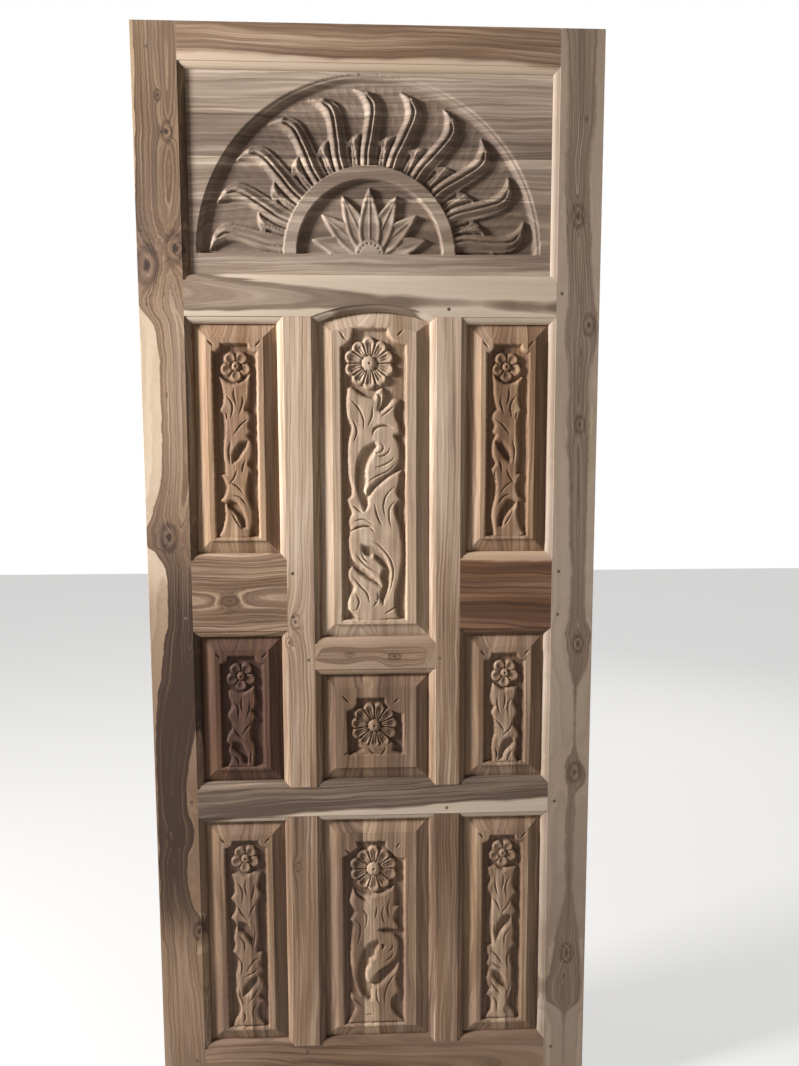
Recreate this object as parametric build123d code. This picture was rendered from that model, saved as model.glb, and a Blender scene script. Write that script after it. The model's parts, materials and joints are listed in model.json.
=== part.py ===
from build123d import *
from math import asin, cos, degrees, radians, sin, sqrt
import os

# Panelled and carved wooden door leaf. Millimetres.
# Origin: middle of the bottom edge. X to the right, Z up, carved front towards -Y.
# "Depth" is counted from the front face into the leaf.

# ---- the leaf as a whole ----
LEAF_WIDTH = 838.0
LEAF_THICKNESS = 35.0
STILE = 80.0              # flat face of each outer upright, without its moulding

# ---- heights from the bottom edge up; together they are the leaf's height ----
BOTTOM_RAIL = 128.0
LOWER_PANELS = 479.0
LOWER_RAIL = 58.0
MIDDLE_PANELS = 308.0
LOCK_RAIL = 135.0
UPPER_PANELS = 446.0
FRIEZE_RAIL = 64.0
SUN_PANEL = 374.0
TOP_RAIL = 65.0

# ---- the middle bay, a little right of the centre line ----
CENTER_BAY = 229.0
CENTER_SHIFT = 3.5
LEFT_MUNTIN = 51.0
RIGHT_MUNTIN = 46.0
SQUARE_PANEL = 232.0      # height of the square opening over the lower rail
CROSS_RAIL = 50.0
ARCH_RISE = 22.0          # rise of the low arch cut into the frieze rail

# ---- moulding worked on every edge that faces a panel ----
STICK_WIDTH = 12.0
STICK_STEP = 1.5          # small upright step at the face
STICK_DEPTH = 9.0         # depth of the moulding's inner edge
STICK_ROUND = ((0.45, 0.12), (0.82, 0.48))  # its rounded face: shares of width and drop
GROOVE = 10.0             # width of the panel groove, centred in the thickness
TONGUE_GAP = 2.0          # room left at the bottom of the groove

# ---- joints between the frame's pieces ----
TENON_THICKNESS = 12.0
TENON_LONG = 60.0         # into the stiles
TENON_SHORT = 22.0        # between rails and muntins
TENON_SHOULDER = 12.0     # left off each edge of a tenon
PIN_WIDTH = 6.0           # across the flats of the faceted pins
PIN_LENGTH = 27.0
PIN_SIDES = 6

# ---- raised panels ----
MARGIN = 25.0             # sloped border between moulding and raised field
FIELD_DEPTH = 1.5         # raised field, from the front face
FIELD_STEP = 2.5          # upright step at the field's edge
BACK_FIELD = 4.0          # plain field on the back, from the back face
BEVEL_EXTRA = 2.0         # how far the margin's cutter runs past the slope
RECESS_DEPTH = 8.0        # carving ground below the field
NOTCH = 15.0              # hollow cut-in at the two upper corners
SIDE_BORDER = 11.0        # flat border round the sunk ground, by kind of panel
CENTER_BORDER = 16.0
SQUARE_BORDER = 18.0
FOOT_BORDER = 5.0
SQUARE_FOOT = 24.0
ARCHED_HEAD = 6.0
LONG_HEAD = 16.0

# ---- reference sizes of the fields that the leaf outlines are drawn in ----
SIDE_FIELD = 101.0        # widths
CENTER_FIELD = 155.0
TALL_FIELD = 372.0        # heights
SHORT_FIELD = 234.0
LONG_FIELD = 405.0
ARCHED_FIELD = 555.0
SQUARE_FIELD = 158.0

# ---- flat sides that the gouge leaves on small rounds ----
LOBE_SIDES = 8
BOSS_SIDES = 8
NOTCH_SIDES = 12

# ---- the sun ----
SUN_FACE = 8.0            # depth of the flat panel face
SUN_GROUND = 10.0         # how far the ground lies below that face
SUN_SHIFT = -3.0          # centre of the sun from the leaf's centre line
SUN_LIFT = 36.0           # centre of the sun above the frieze rail
SUN_RADIUS = 312.0
SUN_LEDGE = 6.0           # width of the small step round the sun
SUN_LEDGE_DROP = 2.5
RING_OUTER = 156.0
RING_INNER = 133.0
MOON_GROUND = 8.0         # ground of the half moon inside the ring
RAYS = 11
RAY_STEP = 16.64          # degrees between rays
RAY_GROOVE = 4.0          # depth of the groove along a ray
LOTUS_PETALS = 7

FRONT = LEAF_THICKNESS / 2
HALF = LEAF_WIDTH / 2
STILE_EDGE = HALF - STILE
CENTER_LEFT = CENTER_SHIFT - CENTER_BAY / 2
CENTER_RIGHT = CENTER_SHIFT + CENTER_BAY / 2
LEFT_EDGE = CENTER_LEFT - LEFT_MUNTIN
RIGHT_EDGE = CENTER_RIGHT + RIGHT_MUNTIN

Z_LOWER = BOTTOM_RAIL
Z_LOWER_RAIL = Z_LOWER + LOWER_PANELS
Z_MIDDLE = Z_LOWER_RAIL + LOWER_RAIL
Z_LOCK = Z_MIDDLE + MIDDLE_PANELS
Z_UPPER = Z_LOCK + LOCK_RAIL
Z_FRIEZE = Z_UPPER + UPPER_PANELS
Z_SUN = Z_FRIEZE + FRIEZE_RAIL
Z_TOP_RAIL = Z_SUN + SUN_PANEL
LEAF_HEIGHT = Z_TOP_RAIL + TOP_RAIL
Z_CROSS = Z_MIDDLE + SQUARE_PANEL
Z_CENTER = Z_CROSS + CROSS_RAIL

GROOVE_FRONT = (LEAF_THICKNESS - GROOVE) / 2
GROOVE_BACK = GROOVE_FRONT + GROOVE
PANEL_INSET = STICK_WIDTH + MARGIN


# ---------- helpers ----------

def slab(outline, depth_from, depth_to):
    """An outline drawn as seen from the front, made solid between two depths."""
    return extrude(Plane.XZ.offset(FRONT - depth_to) * outline, amount=depth_to - depth_from)


def rectangle(x0, x1, z0, z1):
    return Pos((x0 + x1) / 2, (z0 + z1) / 2) * Rectangle(x1 - x0, z1 - z0)


def block(x0, x1, z0, z1):
    return slab(rectangle(x0, x1, z0, z1), 0, LEAF_THICKNESS)


def tenon(x0, x1, z0, z1):
    middle = LEAF_THICKNESS / 2
    return slab(rectangle(x0, x1, z0, z1), middle - TENON_THICKNESS / 2, middle + TENON_THICKNESS / 2)


def joined(*pieces):
    whole = pieces[0]
    for piece in pieces[1:]:
        whole = whole + piece
    return whole


class Opening:
    """A panel opening: its edges on the face, and the rise of its top if arched."""

    def __init__(self, left, right, bottom, top, rise=0.0):
        self.left, self.right, self.bottom, self.top = left, right, bottom, top
        self.rise = rise
        self.middle = (left + right) / 2
        if rise:
            half = (right - left) / 2
            self.radius = (half * half + rise * rise) / (2 * rise)
            self.arch_z = top + rise - self.radius

    def spring(self, inset):
        """Height where the arch, moved in by inset, meets the upright side."""
        across = (self.right - self.left) / 2 - inset
        return self.arch_z + sqrt((self.radius - inset) ** 2 - across ** 2)

    def outline(self, inset=0.0):
        x0, x1, z0 = self.left + inset, self.right - inset, self.bottom + inset
        if not self.rise:
            return rectangle(x0, x1, z0, self.top - inset)
        z1 = self.spring(inset)
        crown = self.arch_z + self.radius - inset
        edge = Polyline((x0, z1), (x0, z0), (x1, z0), (x1, z1))
        edge += ThreePointArc((x1, z1), (self.middle, crown), (x0, z1))
        return make_face(edge)

    def mitre(self):
        """Drop of the upper mitre for each millimetre of moulding width."""
        if not self.rise:
            return 1.0
        return (self.top - self.spring(STICK_WIDTH)) / STICK_WIDTH


OPENINGS = {
    "sun": Opening(-STILE_EDGE, STILE_EDGE, Z_SUN, Z_TOP_RAIL),
    "upper_left": Opening(-STILE_EDGE, LEFT_EDGE, Z_UPPER, Z_FRIEZE),
    "upper_center": Opening(CENTER_LEFT, CENTER_RIGHT, Z_CENTER, Z_FRIEZE, ARCH_RISE),
    "upper_right": Opening(RIGHT_EDGE, STILE_EDGE, Z_UPPER, Z_FRIEZE),
    "middle_left": Opening(-STILE_EDGE, LEFT_EDGE, Z_MIDDLE, Z_LOCK),
    "middle_center": Opening(CENTER_LEFT, CENTER_RIGHT, Z_MIDDLE, Z_CROSS),
    "middle_right": Opening(RIGHT_EDGE, STILE_EDGE, Z_MIDDLE, Z_LOCK),
    "lower_left": Opening(-STILE_EDGE, LEFT_EDGE, Z_LOWER, Z_LOWER_RAIL),
    "lower_center": Opening(CENTER_LEFT, CENTER_RIGHT, Z_LOWER, Z_LOWER_RAIL),
    "lower_right": Opening(RIGHT_EDGE, STILE_EDGE, Z_LOWER, Z_LOWER_RAIL),
}


# ---------- moulding ----------

def moulding_section():
    """Across the moulding: distance from the face's edge, and depth. Round in front only."""
    back = LEAF_THICKNESS
    drop = STICK_DEPTH - STICK_STEP
    section = [(0.0, STICK_STEP)]
    section += [(STICK_WIDTH * across, STICK_STEP + drop * down) for across, down in STICK_ROUND]
    section += [(STICK_WIDTH, STICK_DEPTH), (STICK_WIDTH, back - STICK_DEPTH), (0.0, back - STICK_STEP)]
    return section


def strip(opening, side, section):
    """A section (distance from the opening's edge, depth) drawn along one whole side."""
    if side == "top" and opening.rise:
        return arch_strip(opening, section)
    points = []
    for out, depth in section:
        y = depth - FRONT
        if side == "left":
            points.append((opening.left + out, y, opening.bottom))
        elif side == "right":
            points.append((opening.right - out, y, opening.bottom))
        elif side == "bottom":
            points.append((opening.left, y, opening.bottom + out))
        else:
            points.append((opening.left, y, opening.top - out))
    profile = Face(Wire.make_polygon(points, close=True))
    if side in ("left", "right"):
        return extrude(profile, amount=opening.top + opening.rise - opening.bottom, dir=(0, 0, 1))
    return extrude(profile, amount=opening.right - opening.left, dir=(1, 0, 0))


def arch_strip(opening, section):
    """The same along the arch, turned about the arch's centre."""
    center = (opening.middle, 0, opening.arch_z)
    points = [
        (opening.middle, depth - FRONT, opening.arch_z + opening.radius - out) for out, depth in section]
    half_angle = degrees(asin((opening.right - opening.left) / 2 / opening.radius))
    axis = Axis(center, (0, 1, 0))
    profile = Face(Wire.make_polygon(points, close=True))
    return revolve(profile.rotate(axis, -half_angle), axis, 2 * half_angle)


def mitre_region(opening, side):
    """Outline of one side's share of the moulding, cut along the mitres."""
    left, right, bottom, top = opening.left, opening.right, opening.bottom, opening.top
    reach = 3 * STICK_WIDTH if side == "top" and opening.rise else STICK_WIDTH
    low, high = bottom + reach, top - reach * opening.mitre()
    if side == "left":
        return [(left, bottom), (left + reach, low), (left + reach, high), (left, top)]
    if side == "right":
        return [(right, bottom), (right - reach, low), (right - reach, high), (right, top)]
    if side == "bottom":
        return [(left, bottom), (left + reach, low), (right - reach, low), (right, bottom)]
    crown = top + 2 * opening.rise
    arch = [(right, crown), (left, crown)] if opening.rise else []
    return [(left, top), (left + reach, high), (right - reach, high), (right, top)] + arch


def moulding(opening, side):
    region = make_face(Polyline(*mitre_region(opening, side), close=True))
    return strip(opening, side, moulding_section()) & slab(region, 0, LEAF_THICKNESS)


# ---------- frame ----------

def member(body, tenons, edges, sockets=()):
    """A frame piece: its body, tenons, mouldings, less the grooves and mortises."""
    piece = joined(body, *tenons)
    for name, side in edges:
        opening = OPENINGS[name]
        piece = piece + moulding(opening, side)
        piece = piece - slab(opening.outline(), GROOVE_FRONT, GROOVE_BACK)
    for socket in sockets:
        piece = piece - socket
    return piece


def rail_tenons(z0, height):
    """The two long tenons of a full-width rail."""
    low, high = z0 + TENON_SHOULDER, z0 + height - TENON_SHOULDER
    far = STILE_EDGE + TENON_LONG
    return {"left": tenon(-far, -STILE_EDGE, low, high), "right": tenon(STILE_EDGE, far, low, high)}


def muntin_tenons(x0, width, z0, z1):
    left, right = x0 + TENON_SHOULDER, x0 + width - TENON_SHOULDER
    lower = tenon(left, right, z0 - TENON_SHORT, z0)
    return {"bottom": lower, "top": tenon(left, right, z1, z1 + TENON_SHORT)}


def pin_outline(x, z):
    return Pos(x, z) * RegularPolygon(PIN_WIDTH / 2, PIN_SIDES, major_radius=False)


def pins():
    """Each pin's place, beside the joint it holds."""
    out = STILE_EDGE + 13
    muntin_left = CENTER_LEFT - 12
    muntin_right = CENTER_RIGHT + 8
    low_muntin_left = CENTER_LEFT - LEFT_MUNTIN / 2
    low_muntin_right = CENTER_RIGHT + RIGHT_MUNTIN / 2
    lock_low, lock_high = Z_LOCK + 26, Z_LOCK + LOCK_RAIL - 26
    return [
        (-out - 38, Z_TOP_RAIL + 21),
        (out - 3, Z_SUN - 21),
        (low_muntin_right, Z_FRIEZE + 14),
        (-out, lock_high), (-out, lock_low),
        (out, lock_high), (out, lock_low),
        (LEFT_EDGE + 11, lock_high), (LEFT_EDGE + 11, lock_low),
        (muntin_left, Z_CROSS + 19), (muntin_right, Z_CROSS + 19),
        (-out, Z_LOWER_RAIL + 33), (out, Z_LOWER_RAIL + 20),
        (low_muntin_right, Z_LOWER_RAIL + 11),
        (-out - 3, Z_LOWER - 24), (out + 2, Z_LOWER - 19),
        (low_muntin_left, Z_LOWER - 12),
    ]


def build_frame():
    stile_in, stile_out = STILE_EDGE, HALF
    top = rail_tenons(Z_TOP_RAIL, TOP_RAIL)
    frieze = rail_tenons(Z_FRIEZE, FRIEZE_RAIL)
    lock = rail_tenons(Z_LOCK, LOCK_RAIL)
    lower = rail_tenons(Z_LOWER_RAIL, LOWER_RAIL)
    bottom = rail_tenons(0, BOTTOM_RAIL)
    upper_left = muntin_tenons(LEFT_EDGE, LEFT_MUNTIN, Z_MIDDLE, Z_FRIEZE)
    upper_right = muntin_tenons(CENTER_RIGHT, RIGHT_MUNTIN, Z_MIDDLE, Z_FRIEZE)
    lower_left = muntin_tenons(LEFT_EDGE, LEFT_MUNTIN, Z_LOWER, Z_LOWER_RAIL)
    lower_right = muntin_tenons(CENTER_RIGHT, RIGHT_MUNTIN, Z_LOWER, Z_LOWER_RAIL)

    lock_low, lock_high = Z_LOCK + TENON_SHOULDER, Z_UPPER - TENON_SHOULDER
    lock_stub_left = tenon(LEFT_EDGE, LEFT_EDGE + TENON_SHORT, lock_low, lock_high)
    lock_stub_right = tenon(RIGHT_EDGE - TENON_SHORT, RIGHT_EDGE, lock_low, lock_high)
    cross_low, cross_high = Z_CROSS + TENON_SHOULDER, Z_CENTER - TENON_SHOULDER
    cross_left = tenon(CENTER_LEFT - TENON_SHORT, CENTER_LEFT, cross_low, cross_high)
    cross_right = tenon(CENTER_RIGHT, CENTER_RIGHT + TENON_SHORT, cross_low, cross_high)
    arch = slab(OPENINGS["upper_center"].outline(), 0, LEAF_THICKNESS)

    def stile(sign, side, panels):
        x0, x1 = sorted((sign * stile_in, sign * stile_out))
        end = "left" if sign < 0 else "right"
        sockets = [rail[end] for rail in (top, frieze, lock, lower, bottom)]
        return member(block(x0, x1, 0, LEAF_HEIGHT), [], [(p, side) for p in panels], sockets)

    def rail(z0, height, tenons, edges, sockets=(), cut=None):
        body = block(-STILE_EDGE, STILE_EDGE, z0, z0 + height)
        body = body - cut if cut else body
        return member(body, tenons.values(), edges, sockets)

    def muntin(x0, width, z0, z1, tenons, edges, sockets=()):
        return member(block(x0, x0 + width, z0, z1), tenons.values(), edges, sockets)

    return {
        "left_stile": stile(-1, "left", ("sun", "upper_left", "middle_left", "lower_left")),
        "right_stile": stile(1, "right", ("sun", "upper_right", "middle_right", "lower_right")),
        "top_rail": rail(Z_TOP_RAIL, TOP_RAIL, top, [("sun", "top")]),
        "frieze_rail": rail(
            Z_FRIEZE, FRIEZE_RAIL, frieze,
            [("sun", "bottom"), ("upper_left", "top"), ("upper_center", "top"), ("upper_right", "top")],
            [upper_left["top"], upper_right["top"]], arch),
        "left_lock_rail": member(
            block(-STILE_EDGE, LEFT_EDGE, Z_LOCK, Z_UPPER), [lock["left"], lock_stub_left],
            [("upper_left", "bottom"), ("middle_left", "top")]),
        "right_lock_rail": member(
            block(RIGHT_EDGE, STILE_EDGE, Z_LOCK, Z_UPPER), [lock["right"], lock_stub_right],
            [("upper_right", "bottom"), ("middle_right", "top")]),
        "center_cross_rail": member(
            block(CENTER_LEFT, CENTER_RIGHT, Z_CROSS, Z_CENTER), [cross_left, cross_right],
            [("upper_center", "bottom"), ("middle_center", "top")]),
        "lower_rail": rail(
            Z_LOWER_RAIL, LOWER_RAIL, lower,
            [("middle_left", "bottom"), ("middle_center", "bottom"), ("middle_right", "bottom"),
             ("lower_left", "top"), ("lower_center", "top"), ("lower_right", "top")],
            [upper_left["bottom"], upper_right["bottom"], lower_left["top"], lower_right["top"]]),
        "bottom_rail": rail(
            0, BOTTOM_RAIL, bottom,
            [("lower_left", "bottom"), ("lower_center", "bottom"), ("lower_right", "bottom")],
            [lower_left["bottom"], lower_right["bottom"]]),
        "upper_left_muntin": muntin(
            LEFT_EDGE, LEFT_MUNTIN, Z_MIDDLE, Z_FRIEZE, upper_left,
            [("upper_left", "right"), ("middle_left", "right"),
             ("upper_center", "left"), ("middle_center", "left")],
            [lock_stub_left, cross_left]),
        "upper_right_muntin": muntin(
            CENTER_RIGHT, RIGHT_MUNTIN, Z_MIDDLE, Z_FRIEZE, upper_right,
            [("upper_right", "left"), ("middle_right", "left"),
             ("upper_center", "right"), ("middle_center", "right")],
            [lock_stub_right, cross_right]),
        "lower_left_muntin": muntin(
            LEFT_EDGE, LEFT_MUNTIN, Z_LOWER, Z_LOWER_RAIL, lower_left,
            [("lower_left", "right"), ("lower_center", "left")]),
        "lower_right_muntin": muntin(
            CENTER_RIGHT, RIGHT_MUNTIN, Z_LOWER, Z_LOWER_RAIL, lower_right,
            [("lower_right", "left"), ("lower_center", "right")]),
    }


# ---------- raised panels ----------

def bevel_section(depth_out, depth_in):
    """What a margin's slope takes off: a triangle, a little larger than the slope."""
    rise = (depth_in - depth_out) / MARGIN * BEVEL_EXTRA
    outer = STICK_WIDTH - BEVEL_EXTRA
    inner = PANEL_INSET + BEVEL_EXTRA
    return [(outer, depth_out - rise), (inner, depth_in + rise), (outer, depth_in + rise)]


def raised_panel(opening):
    """Tongue all round, sloped margins and a raised field on both sides."""
    step_front = FIELD_DEPTH + FIELD_STEP
    back_face = LEAF_THICKNESS - BACK_FIELD
    step_back = back_face - FIELD_STEP
    body = slab(opening.outline(STICK_WIDTH), step_front, step_back)
    for side in ("left", "right", "bottom", "top"):
        body = body - strip(opening, side, bevel_section(GROOVE_FRONT, step_front))
        body = body - strip(opening, side, bevel_section(GROOVE_BACK, step_back))
    tongue = slab(opening.outline(TONGUE_GAP), GROOVE_FRONT, GROOVE_BACK)
    field = slab(opening.outline(PANEL_INSET), FIELD_DEPTH, back_face)
    return joined(tongue, body, field)


class Field:
    """The raised field of a panel: outlines are drawn for a reference size and fitted to it."""

    def __init__(self, opening, width, height, flip=False):
        self.x = opening.middle
        self.top = opening.top + opening.rise - PANEL_INSET
        self.scale_x = (opening.right - opening.left - 2 * PANEL_INSET) / width
        self.scale_z = (self.top - opening.bottom - PANEL_INSET) / height
        self.width, self.height = width, height
        self.flip = -1 if flip else 1

    def at(self, x, down):
        return (self.x + self.flip * self.scale_x * x, self.top - self.scale_z * down)

    def shape(self, points):
        return make_face(Polyline(*[self.at(*point) for point in points], close=True))

    def round(self, x, down, radius, sides, turn=0.0):
        """A round with flat sides, as a gouge leaves it."""
        return Pos(*self.at(x, down)) * RegularPolygon(radius * self.scale_x, sides, rotation=turn)

    def cartouche(self, side, head, foot):
        """The sunk ground: a box hollowed at its two upper corners."""
        half = self.width / 2 - side
        x0, z0 = self.at(-half, self.height - foot)
        x1, z1 = self.at(half, head)
        x0, x1 = sorted((x0, x1))
        ground = rectangle(x0, x1, z0, z1)
        for x in (x0, x1):
            ground = ground - Pos(x, z1) * RegularPolygon(NOTCH * self.scale_x, NOTCH_SIDES)
        return ground


class Flower:
    """Round petals about a sunk ring and a boss, at a place of a panel's field."""

    def __init__(self, petals, reach, lobe, ring, boss, turn=0.0):
        self.petals, self.reach, self.lobe = petals, reach, lobe
        self.ring, self.boss, self.turn = ring, boss, turn

    def outline(self, field, x, down):
        shape = field.round(x, down, self.reach, self.petals, self.turn)
        for i in range(self.petals):
            angle = self.turn + 360 * i / self.petals
            across = self.reach * cos(radians(angle))
            along = self.reach * sin(radians(angle))
            facing = 180 / LOBE_SIDES - field.flip * angle
            shape = shape + field.round(x + across, down + along, self.lobe, LOBE_SIDES, facing)
        return shape

    def hollow(self, field, x, down):
        return field.round(x, down, self.ring, BOSS_SIDES) - field.round(x, down, self.boss, BOSS_SIDES)


SIDE_FLOWER = Flower(petals=5, reach=16.0, lobe=11.0, ring=13.0, boss=7.0, turn=-90.0)
CENTER_FLOWER = Flower(petals=10, reach=34.0, lobe=11.0, ring=21.0, boss=11.0)
ROSETTE = Flower(petals=12, reach=36.0, lobe=10.0, ring=22.0, boss=12.0, turn=15.0)


def carved_panel(opening, field, ground, flower, place, leaves, loops=()):
    """A raised panel whose ground is sunk round the flower and leaves and inside the loops."""
    ground = ground - flower.outline(field, *place)
    for leaf in leaves:
        ground = ground - field.shape(leaf)
    for loop in loops:
        ground = ground + field.shape(loop)
    sunk = slab(ground, FIELD_DEPTH - 1, FIELD_DEPTH + RECESS_DEPTH)
    ring = slab(flower.hollow(field, *place), FIELD_DEPTH - 1, FIELD_DEPTH + RECESS_DEPTH / 2)
    return raised_panel(opening) - sunk - ring


def tall_side_panel(opening, flip):
    """Flower over a leafy stem with two leaf loops."""
    field = Field(opening, SIDE_FIELD, TALL_FIELD, flip)
    stem = [
        (-29, 60), (-27, 90), (-22, 118), (-18, 130), (-28, 143), (-23, 160), (-27, 172),
        (-21, 178), (-29, 203), (-27, 220), (-21, 231), (-28, 241), (-20, 262), (-19, 280),
        (-28, 320), (-28, 338), (-22, 372), (34, 372), (25, 340), (21, 305), (31, 298),
        (19, 275), (28, 251), (20, 248), (23, 212), (20, 155), (27, 131), (21, 110),
        (23, 88), (28, 70), (10, 76)]
    upper_loop = [(-20, 189), (-8, 190), (2, 202), (7, 217), (5, 227), (-4, 219), (-14, 203)]
    lower_loop = [(19, 302), (4, 299), (-8, 318), (-14, 346), (-8, 349), (-1, 329), (14, 312)]
    ground = field.cartouche(SIDE_BORDER, SIDE_BORDER, FOOT_BORDER)
    loops = (upper_loop, lower_loop)
    return carved_panel(opening, field, ground, SIDE_FLOWER, (-2, 53), [stem], loops)


def short_side_panel(opening, flip):
    """Flower over a short stem with one leaf loop."""
    field = Field(opening, SIDE_FIELD, SHORT_FIELD, flip)
    stem = [
        (-22, 68), (-27, 90), (-18, 117), (-26, 132), (-17, 155), (-18, 175), (-23, 198),
        (-20, 234), (34, 234), (24, 212), (27, 195), (25, 184), (31, 178), (21, 153),
        (28, 127), (19, 108), (25, 88), (12, 76)]
    loop = [(20, 181), (6, 182), (-4, 197), (-9, 221), (-3, 223), (4, 207), (16, 196)]
    ground = field.cartouche(SIDE_BORDER, SIDE_BORDER, FOOT_BORDER)
    return carved_panel(opening, field, ground, SIDE_FLOWER, (1, 51), [stem], [loop])


def long_side_panel(opening, flip):
    """As the tall one, drawn out, with one more leaf at the root."""
    field = Field(opening, SIDE_FIELD, LONG_FIELD, flip)
    stem = [
        (-26, 66), (-27, 85), (-22, 104), (-28, 119), (-20, 140), (-22, 200), (-18, 242),
        (-29, 244), (-24, 268), (-28, 283), (-22, 289), (-29, 312), (-21, 335), (-29, 346),
        (-18, 366), (-20, 380), (-31, 405), (34, 405), (18, 372), (17, 358), (24, 325),
        (23, 300), (19, 260), (29, 240), (24, 228), (26, 210), (20, 185), (31, 170),
        (20, 149), (30, 130), (23, 118), (26, 84), (12, 76)]
    upper_loop = [(18, 180), (4, 181), (-8, 198), (-11, 224), (-4, 219), (5, 204), (17, 194)]
    lower_loop = [(-17, 295), (-6, 298), (5, 311), (12, 333), (3, 331), (-9, 317)]
    ground = field.cartouche(SIDE_BORDER, SIDE_BORDER, FOOT_BORDER)
    loops = (upper_loop, lower_loop)
    return carved_panel(opening, field, ground, SIDE_FLOWER, (1, 49), [stem], loops)


def arched_center_panel(opening):
    """Many-petalled flower over a stem that rolls into two leaf scrolls."""
    field = Field(opening, CENTER_FIELD, ARCHED_FIELD)
    left_edge = [
        (-42, 110), (-49, 113), (-51, 137), (-50, 165), (-41, 188), (-48, 232), (-47, 275),
        (-42, 312), (-49, 318), (-41, 344), (-47, 362), (-48, 397), (-45, 420), (-37, 437),
        (-13, 455), (17, 485), (-25, 461), (-42, 446), (-48, 452), (-48, 468), (-39, 486),
        (-47, 502), (-51, 524), (-42, 536), (-34, 555), (54, 555)]
    right_edge = [
        (41, 522), (40, 507), (49, 463), (54, 424), (52, 394), (39, 343), (50, 320),
        (42, 305), (50, 265), (22, 281), (4, 296), (-9, 312), (-17, 339), (-26, 318),
        (-32, 282), (-28, 244), (-17, 224), (3, 212), (6, 220), (-13, 252), (-16, 268),
        (-18, 309), (0, 286), (38, 261), (47, 246), (49, 229), (45, 212), (31, 198),
        (-2, 200), (7, 186), (33, 189), (50, 197), (46, 179), (39, 165), (48, 135),
        (38, 133), (39, 112), (17, 107)]
    slot = [(-44, 376), (-31, 369), (-8, 370), (1, 381), (-9, 377), (-30, 377)]
    scroll = [
        (-3, 408), (8, 416), (21, 432), (27, 452), (27, 474), (19, 490), (18, 457), (10, 440)]
    ground = field.cartouche(CENTER_BORDER, ARCHED_HEAD, FOOT_BORDER)
    leaves = [left_edge + right_edge]
    return carved_panel(opening, field, ground, CENTER_FLOWER, (-8, 68), leaves, (slot, scroll))


def square_center_panel(opening):
    """Rosette between two corner leaves."""
    field = Field(opening, CENTER_FIELD, SQUARE_FIELD)
    left_leaf = [(-60, 118), (-44, 112), (-30, 118), (-24, 132), (-44, 136), (-60, 146)]
    right_leaf = [(60, 116), (48, 106), (38, 110), (34, 126), (46, 134), (60, 146)]
    ground = field.cartouche(SQUARE_BORDER, SQUARE_BORDER, SQUARE_FOOT)
    return carved_panel(opening, field, ground, ROSETTE, (0, 77), [left_leaf, right_leaf])


def long_center_panel(opening):
    """Many-petalled flower over a single large leaf scroll."""
    field = Field(opening, CENTER_FIELD, LONG_FIELD)
    left_edge = [
        (-43, 112), (-48, 115), (-53, 140), (-50, 156), (-41, 166), (-53, 183), (-46, 206),
        (-52, 270), (-50, 300), (-43, 323), (-35, 341), (-53, 333), (-53, 343), (-41, 368),
        (-54, 393), (-54, 405), (52, 405), (46, 388), (32, 370), (34, 353), (45, 346)]
    right_edge = [
        (50, 333), (40, 303), (44, 275), (22, 300), (5, 315), (-6, 316), (-11, 353),
        (-28, 326), (-35, 300), (-33, 273), (-25, 246), (-11, 231), (4, 225), (8, 232),
        (-13, 263), (-20, 283), (-18, 315), (2, 293), (35, 263), (43, 246), (39, 218),
        (29, 210), (-3, 206), (5, 199), (32, 201), (47, 205), (37, 176), (45, 156),
        (36, 140), (37, 113), (16, 110)]
    ground = field.cartouche(CENTER_BORDER, LONG_HEAD, FOOT_BORDER)
    leaves = [left_edge + right_edge]
    return carved_panel(opening, field, ground, CENTER_FLOWER, (-6, 79), leaves)


# ---------- the sun ----------

def sun_point(angle, radius):
    """A point given by its angle from straight up (clockwise) and its distance."""
    return (SUN_SHIFT + radius * sin(radians(angle)), Z_SUN + SUN_LIFT + radius * cos(radians(angle)))


def half_disc(radius):
    center = Pos(SUN_SHIFT, Z_SUN + SUN_LIFT)
    upper = Pos(0, radius / 2) * Rectangle(2 * radius, radius)
    return center * (Circle(radius) & upper)


def polar_points(turn, points):
    return [sun_point(turn + angle, radius) for angle, radius in points]


def ray(turn):
    """One flame ray, curling over to a hooked tip."""
    foot = RING_OUTER - 3
    points = [
        (-5.9, foot), (-4.4, 193), (-2.6, 219), (-1.4, 240), (-1.6, 258), (-3.1, 275),
        (-5.2, 288), (-1.5, 285.3), (2.0, 277.5), (4.3, 265), (5.3, 248), (5.2, 212),
        (4.4, foot)]
    return make_face(Polyline(*polar_points(turn, points), close=True))


def small_ray(turn):
    """The short hooked ray on the left of a flame ray."""
    foot = RING_OUTER - 3
    points = [
        (-10.7, foot), (-9.7, 186), (-11.9, 192), (-10.9, 200), (-8, 207.5),
        (-3.0, 213.5), (-4.9, 200), (-6.4, 180), (-7.3, foot)]
    return make_face(Polyline(*polar_points(turn, points), close=True))


def ray_groove(turn):
    """The groove between a ray's two ridges."""
    foot = RING_OUTER - 1
    points = [
        (-2.7, foot), (-0.9, 196), (0.6, 230), (0.9, 262), (2.1, 240), (0.5, 198),
        (-1.1, foot)]
    return make_face(Polyline(*polar_points(turn, points), close=True))


def lotus():
    """Half lotus in the middle of the sun: pointed petals over a low base."""
    shape = half_disc(RING_INNER * 0.3)
    for i in range(LOTUS_PETALS):
        turn = 180 * (i - (LOTUS_PETALS - 1) / 2) / LOTUS_PETALS
        length = RING_INNER * (0.86 - 0.0012 * abs(turn))
        tip, low = sun_point(turn, length), sun_point(turn, RING_INNER * 0.15)
        side = RING_INNER * 0.56
        left, right = sun_point(turn - 9, side), sun_point(turn + 9, side)
        petal = make_face(ThreePointArc(low, left, tip) + ThreePointArc(tip, right, low))
        shape = shape + petal
    return shape & half_disc(RING_INNER)


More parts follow.
